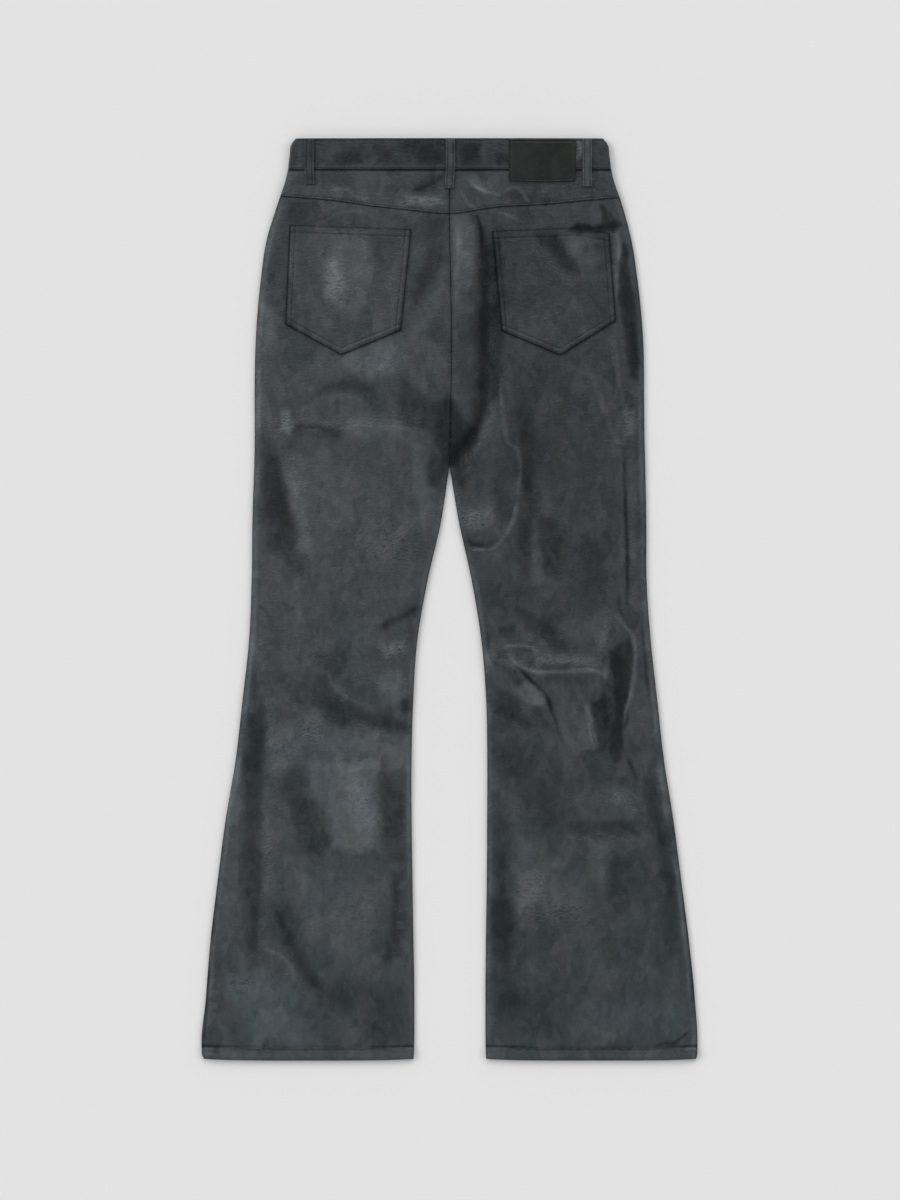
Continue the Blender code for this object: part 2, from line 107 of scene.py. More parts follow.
def soft_floor(value: Array, softness: float = 0.7) -> Array:
    """The value where it is above 0, and a smooth turn to 0 below."""
    return 0.5 * (value + np.sqrt(value * value + softness * softness))


def bump_at(value: Array, middle: float, width: float) -> Array:
    """1 where a value is at the middle, falling softly to 0 over about a width on both sides."""
    return np.exp(-((value - middle) / width) ** 2)


def faded(share: Array, outside: float, inside: float) -> Array:
    """1 along the middle of a line, fading to 0 from inside each end to outside it, all as shares."""
    return smooth_step(-outside, inside, share) * smooth_step(1.0 + outside, 1.0 - inside, share)


def level(value: float) -> Line:
    """A line that stays at one value."""
    return lambda at: np.full(at.shape, value)


def straight_through(points: Sequence[Point]) -> Line:
    """A line with straight runs between points, in the rising order of their first values."""
    stations, values = zip(*points)
    return lambda at: np.interp(at, stations, values)


@dataclass(frozen=True)
class Waves:
    """Smooth, seeded random waves over the garment: their height, and about their size in mm."""

    height: float
    size: float
    seed: int
    squeeze: float = 1.0

    table_size: ClassVar[int] = 128
    table_middle: ClassVar[float] = 500.0
    first_turn: ClassVar[float] = 0.6
    turn_for_each_seed: ClassVar[float] = 0.9

    def at(self, across: Array, up: Array) -> Array:
        """The waves' values at each point, from minus to plus their height."""
        turn = self.first_turn + self.turn_for_each_seed * self.seed
        up = up * self.squeeze
        x = (across * math.cos(turn) - up * math.sin(turn)) / self.size + self.table_middle
        y = (across * math.sin(turn) + up * math.cos(turn)) / self.size + self.table_middle
        table = np.random.default_rng(self.seed).uniform(-1.0, 1.0, (self.table_size, self.table_size))
        column = np.floor(x).astype(int)
        row = np.floor(y).astype(int)
        blend_x = smooth_step(0.0, 1.0, x - column)
        blend_y = smooth_step(0.0, 1.0, y - row)
        corners = [table[(row + dy) % self.table_size, (column + dx) % self.table_size]
                   for dy in (0, 1) for dx in (0, 1)]
        low = corners[0] + (corners[1] - corners[0]) * blend_x
        high = corners[2] + (corners[3] - corners[2]) * blend_x
        return self.height * (low + (high - low) * blend_y)


# ---- the form that the laid-out leather takes, the same as that of its solids


@dataclass(frozen=True)
class Section:
    """One cross-section: its four edges, the loft between the layers and the roll at the edges."""

    up: float
    left_out: float
    left_in: float
    right_in: float
    right_out: float
    loft: float
    roll: float


SECTIONS = (
    Section(0, -310.5, -46, 46.8, 312.5, 1.4, 12),
    Section(6, -314, -45.3, 46, 314.4, 1.5, 12),
    Section(14, -314.9, -45, 45.8, 314.9, 1.6, 12),
    Section(77, -309.9, -44.5, 45.4, 311.8, 2.0, 14),
    Section(153, -303.7, -45.7, 46, 304.1, 2.3, 16),
    Section(229, -294.6, -46.9, 47.2, 294.4, 2.5, 18),
    Section(305, -284.7, -48.1, 47.6, 284.5, 2.6, 18),
    Section(381, -272, -48.1, 47.8, 272.6, 2.8, 18),
    Section(458, -263.1, -46, 46.3, 264, 3.0, 18),
    Section(534, -254.8, -40.7, 40.2, 255.6, 3.0, 18),
    Section(610, -251.5, -27.7, 27.9, 250.5, 3.0, 18),
    Section(686, -250.5, -10.4, 11.4, 250.1, 3.0, 18),
    Section(737, -248.9, -2.7, 2.9, 249.1, 3.0, 18),
    Section(756, -248.2, 0, 0, 248.7, 3.0, 18),
    Section(788, -247.6, 0, 0, 247.8, 3.0, 18),
    Section(839, -247.7, 0, 0, 247.3, 3.0, 18),
    Section(915, -246.3, 0, 0, 246.1, 3.1, 20),
    Section(991, -240, 0, 0, 239, 3.2, 26),
    Section(1042, -232.5, 0, 0, 231.2, 3.2, 34),
    Section(1093, -216.7, 0, 0, 217.2, 3.2, 46),
    Section(1118, -208.4, 0, 0, 208.6, 3.2, 56),
    Section(1131, -205.5, 0, 0, 205.7, 3.2, 60),
    Section(1149, -203.2, 0, 0, 203.2, 3.2, 60),
    Section(1164, -200.7, 0, 0, 200.6, 3.2, 60),
    Section(1171, -195.6, 0, 0, 195.2, 3.2, 60),
)
SECTION_HEIGHTS = [section.up for section in SECTIONS]

YOKE_SEAM: tuple[Point, ...] = (
    (-216, 1097), (-143, 1091), (-98, 1084.5), (-55, 1080), (0, 1075),
    (58, 1083), (119, 1086.5), (163, 1090.5), (216, 1095.5),
)


@dataclass(frozen=True)
class Fold:
    """A large fold from one point to another, bowed sideways. A trough has a negative height."""

    from_across: float
    from_up: float
    to_across: float
    to_up: float
    bow: float
    half_width: float
    height: float

    def relief(self, across: Array, up: Array) -> Array:
        """The fold's height at each point, in mm."""
        run = np.array((self.to_across - self.from_across, self.to_up - self.from_up), float)
        length = float(np.linalg.norm(run))
        run = run / length
        offset_across = across - self.from_across
        offset_up = up - self.from_up
        along = (offset_across * run[0] + offset_up * run[1]) / length
        aside = offset_up * run[0] - offset_across * run[1]
        aside = aside - 4.0 * self.bow * along * (1.0 - along)
        return self.height * faded(along, 0.08, 0.25) * bump_at(aside, 0.0, self.half_width)


FOLDS = (
    # left seat and thigh
    Fold(-226, 826, -14, 834, -4, 17, -2.0),
    Fold(-222, 792, -20, 797, 4, 14, 1.8),
    Fold(-234, 790, -188, 612, 10, 15, -2.4),
    Fold(-206, 770, -166, 640, 8, 18, 2.0),
    Fold(-70, 760, -62, 560, -8, 24, 2.0),
    # left knee and flare
    Fold(-160, 492, -48, 420, -18, 12, -2.4),
    Fold(-180, 520, -70, 462, -10, 16, 2.4),
    Fold(-140, 430, -70, 240, 6, 26, 2.6),
    Fold(-243, 490, -238, 400, 4, 11, -1.8),
    Fold(-240, 415, -252, 110, 6, 11, -2.0),
    Fold(-226, 210, -190, 90, 3, 13, -1.9),
    Fold(-84, 376, -66, 120, -4, 14, -2.0),
    Fold(-200, 330, -205, 60, -8, 20, 1.9),
    # centre, right seat and thigh
    Fold(34, 1074, 44, 930, 5, 11, -2.0),
    Fold(43, 950, 42, 790, 4, 12, -2.6),
    Fold(46, 812, 2, 754, -8, 15, -2.6),
    Fold(68, 1010, 74, 800, 6, 16, 1.8),
    Fold(214, 1064, 236, 884, 6, 9, -2.2),
    Fold(106, 1052, 162, 986, 3, 13, -1.6),
    Fold(66, 836, 62, 640, -26, 17, 3.4),
    Fold(14, 664, 66, 645, 0, 10, -2.4),
    Fold(120, 800, 140, 590, 8, 22, -1.8),
    Fold(226, 806, 231, 530, -3, 10, -2.2),
    # right knee and flare
    Fold(44, 514, 100, 500, -10, 10, 3.8),
    Fold(98, 498, 196, 492, 5, 12, 4.2),
    Fold(68, 524, 150, 396, -8, 11, 3.6),
    Fold(150, 492, 192, 396, -6, 12, 3.0),
    Fold(206, 524, 200, 380, 8, 13, -2.8),
    Fold(84, 548, 150, 552, -5, 14, -2.6),
    Fold(216, 574, 220, 386, -22, 10, 3.2),
    Fold(44, 484, 100, 440, 4, 13, -2.4),
    Fold(140, 294, 240, 294, 2, 13, -2.2),
    Fold(130, 322, 244, 318, 0, 15, 2.2),
    Fold(190, 260, 214, 60, 5, 22, 2.0),
    Fold(96, 370, 84, 110, 3, 20, 1.8),
)


class Profile(Enum):
    """How a crease looks across its line: the share of its width that its slopes take up."""

    ROUND = 1.0
    SHARP = 0.6


@dataclass(frozen=True)
class Crease:
    """A crease in the leather along a smooth line, finer than the folds of the solids.

    Its finish is lighter on a ridge, worn there and with a painted highlight, and a trough gets painted shade; paint
    adds a painted highlight or painted shade along the line.
    """

    half_width: float
    height: float
    profile: Profile
    path: tuple[Point, ...]
    # paint: a painted highlight along the line where positive, painted shade where negative
    paint: float = 0.0

    steps: ClassVar[int] = 8
    reach: ClassVar[float] = 3.2
    fade: ClassVar[float] = 0.22
    evenness: ClassVar[float] = 0.85
    waver: ClassVar[Waves] = Waves(0.35, 15.0, 81)

    def line(self) -> Array:
        """The crease's line, with each stretch of its path in equal steps."""
        points = np.array(self.path, float)
        stations = np.arange(len(points))
        at = np.linspace(0.0, len(points) - 1.0, self.steps * (len(points) - 1) + 1)
        return np.stack([through_points(stations, points[:, axis], at) for axis in (0, 1)], axis=-1)

    def shape(self, across: Array, up: Array) -> Array:
        """How much of the crease lies at each of the points, from 0 to 1."""
        line = self.line()
        reach = self.reach * self.half_width
        low = line.min(axis=0) - reach
        high = line.max(axis=0) + reach
        near = (across > low[0]) & (across < high[0]) & (up > low[1]) & (up < high[1])
        total = np.zeros(across.shape)
        if not near.any():
            return total
        x = across[near][:, None]
        y = up[near][:, None]
        start = line[:-1]
        run = line[1:] - start
        length = np.linalg.norm(run, axis=1)
        along = ((x - start[:, 0]) * run[:, 0] + (y - start[:, 1]) * run[:, 1]) / length ** 2
        along = np.clip(along, 0.0, 1.0)
        distance = np.hypot(x - start[:, 0] - along * run[:, 0], y - start[:, 1] - along * run[:, 1])
        nearest = distance.argmin(axis=1)
        pick = np.arange(len(nearest)), nearest
        before = np.concatenate(((0.0,), np.cumsum(length)))
        share = (before[nearest] + along[pick] * length[nearest]) / before[-1]
        uneven = self.evenness + self.waver.at(across[near], up[near])
        across_it = bump_at(distance[pick], 0.0, self.half_width * self.profile.value)
        total[near] = faded(share, 0.0, self.fade) * uneven * across_it
        return total


ROUND = Profile.ROUND
SHARP = Profile.SHARP
# each crease's last value is a painted highlight where positive, painted shade where negative
CREASES = (
    # left yoke and above the left pocket
    Crease(3.0, -0.4, ROUND, ((-52, 1102), (-34, 1108), (-18, 1116), (-4, 1126)), -0.9),
    Crease(3.0, 0.3, SHARP, ((-156, 1100), (-142, 1106), (-128, 1104), (-118, 1096), (-100, 1090)), 0.5),
    Crease(3.0, 0.4, SHARP, ((-162, 1062), (-148, 1071), (-130, 1077), (-108, 1076), (-92, 1066)), 0.24),
    # right yoke and above the right pocket
    Crease(3.0, 0.54, SHARP, ((24, 1122), (30, 1112), (46, 1103), (68, 1098)), 1.12),
    Crease(3.0, 0.41, SHARP, ((12, 1108), (23, 1089), (38, 1078)), 0.96),
    Crease(4.0, -1.2, ROUND, ((150, 1056), (168, 1058), (190, 1058), (218, 1060)), -0.4),
    # left seat
    Crease(5.0, 0.6, ROUND, ((-140, 800), (-110, 804), (-65, 801), (-26, 801)), 0.2),
    Crease(3.5, -0.8, ROUND, ((-202, 804), (-170, 804), (-140, 795)), -0.6),
    Crease(13.0, -1.4, ROUND, ((-167, 846), (-132, 859), (-90, 846))),
    Crease(12.0, 1.2, ROUND, ((-198, 815), (-154, 833), (-83, 837))),
    Crease(14.0, 1.3, ROUND, ((-154, 891), (-101, 869), (-63, 891))),
    # the deep fold right of the centre seam, with painted shade along it
    Crease(8.0, -0.2, ROUND, ((33, 1078), (41, 1050), (45, 1000), (43, 930), (42, 860), (38, 820),
           (24, 786), (4, 762)), -0.8),
    Crease(9.0, 0.0, ROUND, ((56, 1066), (61, 1010), (60, 940), (60, 880), (58, 830), (44, 800)), -1.0),
    Crease(2.2, 0.0, ROUND, ((24, 1080), (34, 1074), (40, 1054), (41, 1030)), -1.0),
    Crease(4.0, 0.5, ROUND, ((10, 1066), (12, 1030), (9, 992), (9, 950)), 0.5),
    Crease(14.0, 0.0, ROUND, ((36, 812), (20, 782), (8, 752), (14, 716)), -0.9),
    # left thigh
    Crease(14.0, -1.6, ROUND, ((-227, 785), (-214, 710), (-192, 629))),
    Crease(16.0, 1.1, ROUND, ((-202, 772), (-184, 701), (-166, 627))),
    # right pocket and the outer seat
    Crease(9.0, -1.5, ROUND, ((128, 1049), (148, 1018), (168, 991))),
    Crease(5.0, -0.8, ROUND, ((222, 1036), (222, 1010), (222, 980), (226, 950), (232, 920), (235, 880))),
    Crease(3.5, 0.4, SHARP, ((211, 1058), (215, 1030), (212, 990), (210, 950)), 0.5),
    Crease(3.5, 0.6, SHARP, ((208, 934), (212, 890), (218, 850), (226, 812)), 0.3),
    Crease(2.8, 0.3, SHARP, ((58, 1079), (78, 1071), (98, 1062)), 0.5),
    Crease(2.8, 0.41, SHARP, ((66, 1098), (76, 1107), (88, 1107), (96, 1096), (104, 1086)), 0.96),
    Crease(2.2, 0.0, ROUND, ((202, 1080), (206, 1070), (212, 1064)), -0.9),
    # right thigh
    Crease(3.2, 1.0, SHARP, ((67, 880), (67, 840), (70, 800), (75, 784), (87, 772), (89, 745), (86, 708),
           (80, 682), (68, 662)), 0.4),
    Crease(3.2, 1.2, SHARP, ((86, 712), (80, 684), (66, 660), (55, 650), (38, 648), (20, 648)), 0.6),
    Crease(5.0, -1.6, ROUND, ((16, 662), (30, 656), (46, 654), (60, 660)), -1.1),
    Crease(12.0, -1.0, ROUND, ((97, 842), (97, 754), (98, 622)), -0.2),
    Crease(3.8, 0.4, SHARP, ((192, 852), (200, 815), (212, 786), (228, 780)), 0.3),
    Crease(3.0, -1.2, ROUND, ((221, 790), (222, 740), (224, 690), (226, 640), (226, 600),
           (224, 560)), -0.9),
    # left knee
    Crease(3.0, 0.5, SHARP, ((-180, 500), (-158, 494), (-148, 480), (-138, 467), (-118, 456),
           (-90, 447)), 0.21),
    Crease(4.5, 0.0, ROUND, ((-34, 580), (-56, 566), (-76, 557), (-92, 544)), -1.1),
    Crease(10.0, -1.1, ROUND, ((-184, 489), (-162, 459), (-136, 438), (-92, 429), (-47, 423))),
    # left flare
    Crease(8.0, -1.2, ROUND, ((-242, 389), (-246, 283), (-248, 195), (-250, 120))),
    Crease(3.8, 0.4, SHARP, ((-268, 420), (-274, 370), (-279, 330), (-284, 270)), 0.48),
    Crease(3.0, 0.0, ROUND, ((-290, 290), (-295, 240), (-300, 190), (-303, 140)), -1.6),
    Crease(1.6, 0.0, ROUND, ((-304, 130), (-307, 90), (-310, 50), (-312, 10)), -1.2),
    Crease(3.2, 0.0, ROUND, ((-53, 400), (-52, 330), (-52, 260)), 0.42),
    Crease(8.0, -1.3, ROUND, ((-83, 371), (-70, 327), (-57, 269))),
    Crease(7.0, -1.7, ROUND, ((-65, 239), (-70, 187), (-65, 128))),
    Crease(7.0, -1.2, ROUND, ((-226, 200), (-204, 156), (-182, 112), (-150, 70)), -0.2),
    Crease(3.8, 0.7, SHARP, ((-238, 142), (-216, 134), (-202, 118), (-196, 96)), 0.36),
    # right knee
    Crease(3.6, 1.8, SHARP, ((70, 522), (78, 510), (92, 499), (112, 493), (150, 494), (178, 495),
           (194, 490), (200, 480)), 0.7),
    Crease(3.0, 1.2, SHARP, ((64, 522), (80, 526), (98, 525), (112, 518), (116, 508)), 0.6),
    Crease(2.8, -0.5, ROUND, ((74, 513), (86, 500), (104, 482), (122, 464), (130, 444), (138, 420),
           (148, 394)), -1.2),
    Crease(5.0, 1.8, SHARP, ((166, 455), (177, 438), (181, 416), (188, 393))),
    Crease(9.0, -1.2, ROUND, ((214, 526), (219, 482), (216, 438), (214, 384))),
    Crease(3.6, 1.2, SHARP, ((206, 576), (212, 562), (224, 548), (234, 536), (236, 500), (232, 468),
           (224, 440), (220, 404)), 0.55),
    Crease(2.2, 0.0, ROUND, ((242, 566), (246, 530), (250, 490), (256, 440)), -0.7),
    Crease(3.0, 0.0, ROUND, ((214, 596), (216, 576), (222, 560)), -0.9),
    Crease(3.0, 0.0, ROUND, ((226, 386), (234, 366), (240, 350)), -0.9),
    Crease(8.0, -1.8, ROUND, ((51, 468), (67, 442), (93, 427), (120, 423))),
    Crease(8.0, -1.8, ROUND, ((111, 570), (128, 548), (140, 525))),
    Crease(9.0, -1.1, ROUND, ((54, 442), (69, 389), (81, 347))),
    # right flare
    Crease(3.5, 0.0, ROUND, ((264, 384), (270, 340), (276, 300)), 0.8),
    Crease(3.8, 0.0, ROUND, ((290, 290), (293, 230), (296, 160), (300, 100)), 0.3),
    Crease(2.2, 0.0, ROUND, ((276, 330), (287, 290), (295, 240), (301, 180), (308, 110), (311, 40)), -0.8),
    Crease(2.0, -0.4, ROUND, ((280, 20), (292, 27), (304, 38)), -0.9),
    Crease(2.0, -0.4, ROUND, ((258, 18), (276, 22), (290, 20)), -0.8),
    Crease(9.0, -1.8, ROUND, ((69, 275), (67, 195), (74, 107))),
    Crease(8.0, 0.9, ROUND, ((89, 283), (88, 222), (94, 160))),
    Crease(9.0, -1.2, ROUND, ((262, 354), (274, 283), (286, 195))),
)


@dataclass(frozen=True)
class Cloud:
    """A soft patch where the finish is lighter or darker, and warmer or cooler; the table holds patches of rubbing
    as well as painted highlights and painted shade.
    """

    across: float
    up: float
    half_across: float
    half_up: float
    tone: float
    warmth: float = 0.0

    fray: ClassVar[float] = 0.45
    most_fray: ClassVar[float] = 11.0
    core: ClassVar[float] = 0.7
    edge: ClassVar[float] = 1.3

    def cover(self, across: Array, up: Array, ragged: tuple[Array, Array]) -> Array:
        """How much of the patch lies at each point, from 0 to 1.

        Args:
            across: The points' places across, in mm.
            up: Their heights above the hem, in mm.
            ragged: Two uneven values from -1 to 1 at each point, which fray the patch's edge.

        Returns:
            The share of the patch there.
        """
        fray = min(self.fray * min(self.half_across, self.half_up), self.most_fray)
        x = (across - self.across + fray * ragged[0]) / self.half_across
        y = (up - self.up + fray * ragged[1]) / self.half_up
        return np.exp(-self.core * (x * x + y * y) ** self.edge)


@dataclass(frozen=True)
class Facet:
    """A patch with an outline of its own where the leather lies at another angle: painted lighter there as a
    reflection, or darker as shade.
    """

    tone: float
    warmth: float
    soft: float
    outline: tuple[Point, ...]

    fray: ClassVar[float] = 2.6

    def cover(self, across: Array, up: Array, ragged: tuple[Array, Array]) -> Array:
        """How much of the patch lies at each point, from 0 to 1, as for a cloud."""
        corners = np.array(self.outline, float)
        shifted_across = across + self.fray * ragged[0]
        shifted_up = up + self.fray * ragged[1]
        low = corners.min(axis=0) - self.soft
        high = corners.max(axis=0) + self.soft
        near = ((shifted_across > low[0]) & (shifted_across < high[0])
                & (shifted_up > low[1]) & (shifted_up < high[1]))
        x = shifted_across[near]
        y = shifted_up[near]
        inside = np.zeros(x.shape, bool)
        distance = np.full(x.shape, 1e6)
        for start, end in zip(corners, np.roll(corners, -1, axis=0)):
            run = end - start
            along = np.clip(((x - start[0]) * run[0] + (y - start[1]) * run[1]) / (run @ run), 0.0, 1.0)
            away = np.hypot(x - start[0] - along * run[0], y - start[1] - along * run[1])
            distance = np.minimum(distance, away)
            crosses = (start[1] > y) != (end[1] > y)
            level = start[0] + (y - start[1]) * run[0] / (run[1] if run[1] else 1.0)
            inside ^= crosses & (x < level)
        total = np.zeros(across.shape)
        total[near] = smooth_step(-self.soft, self.soft, np.where(inside, distance, -distance))
        return total
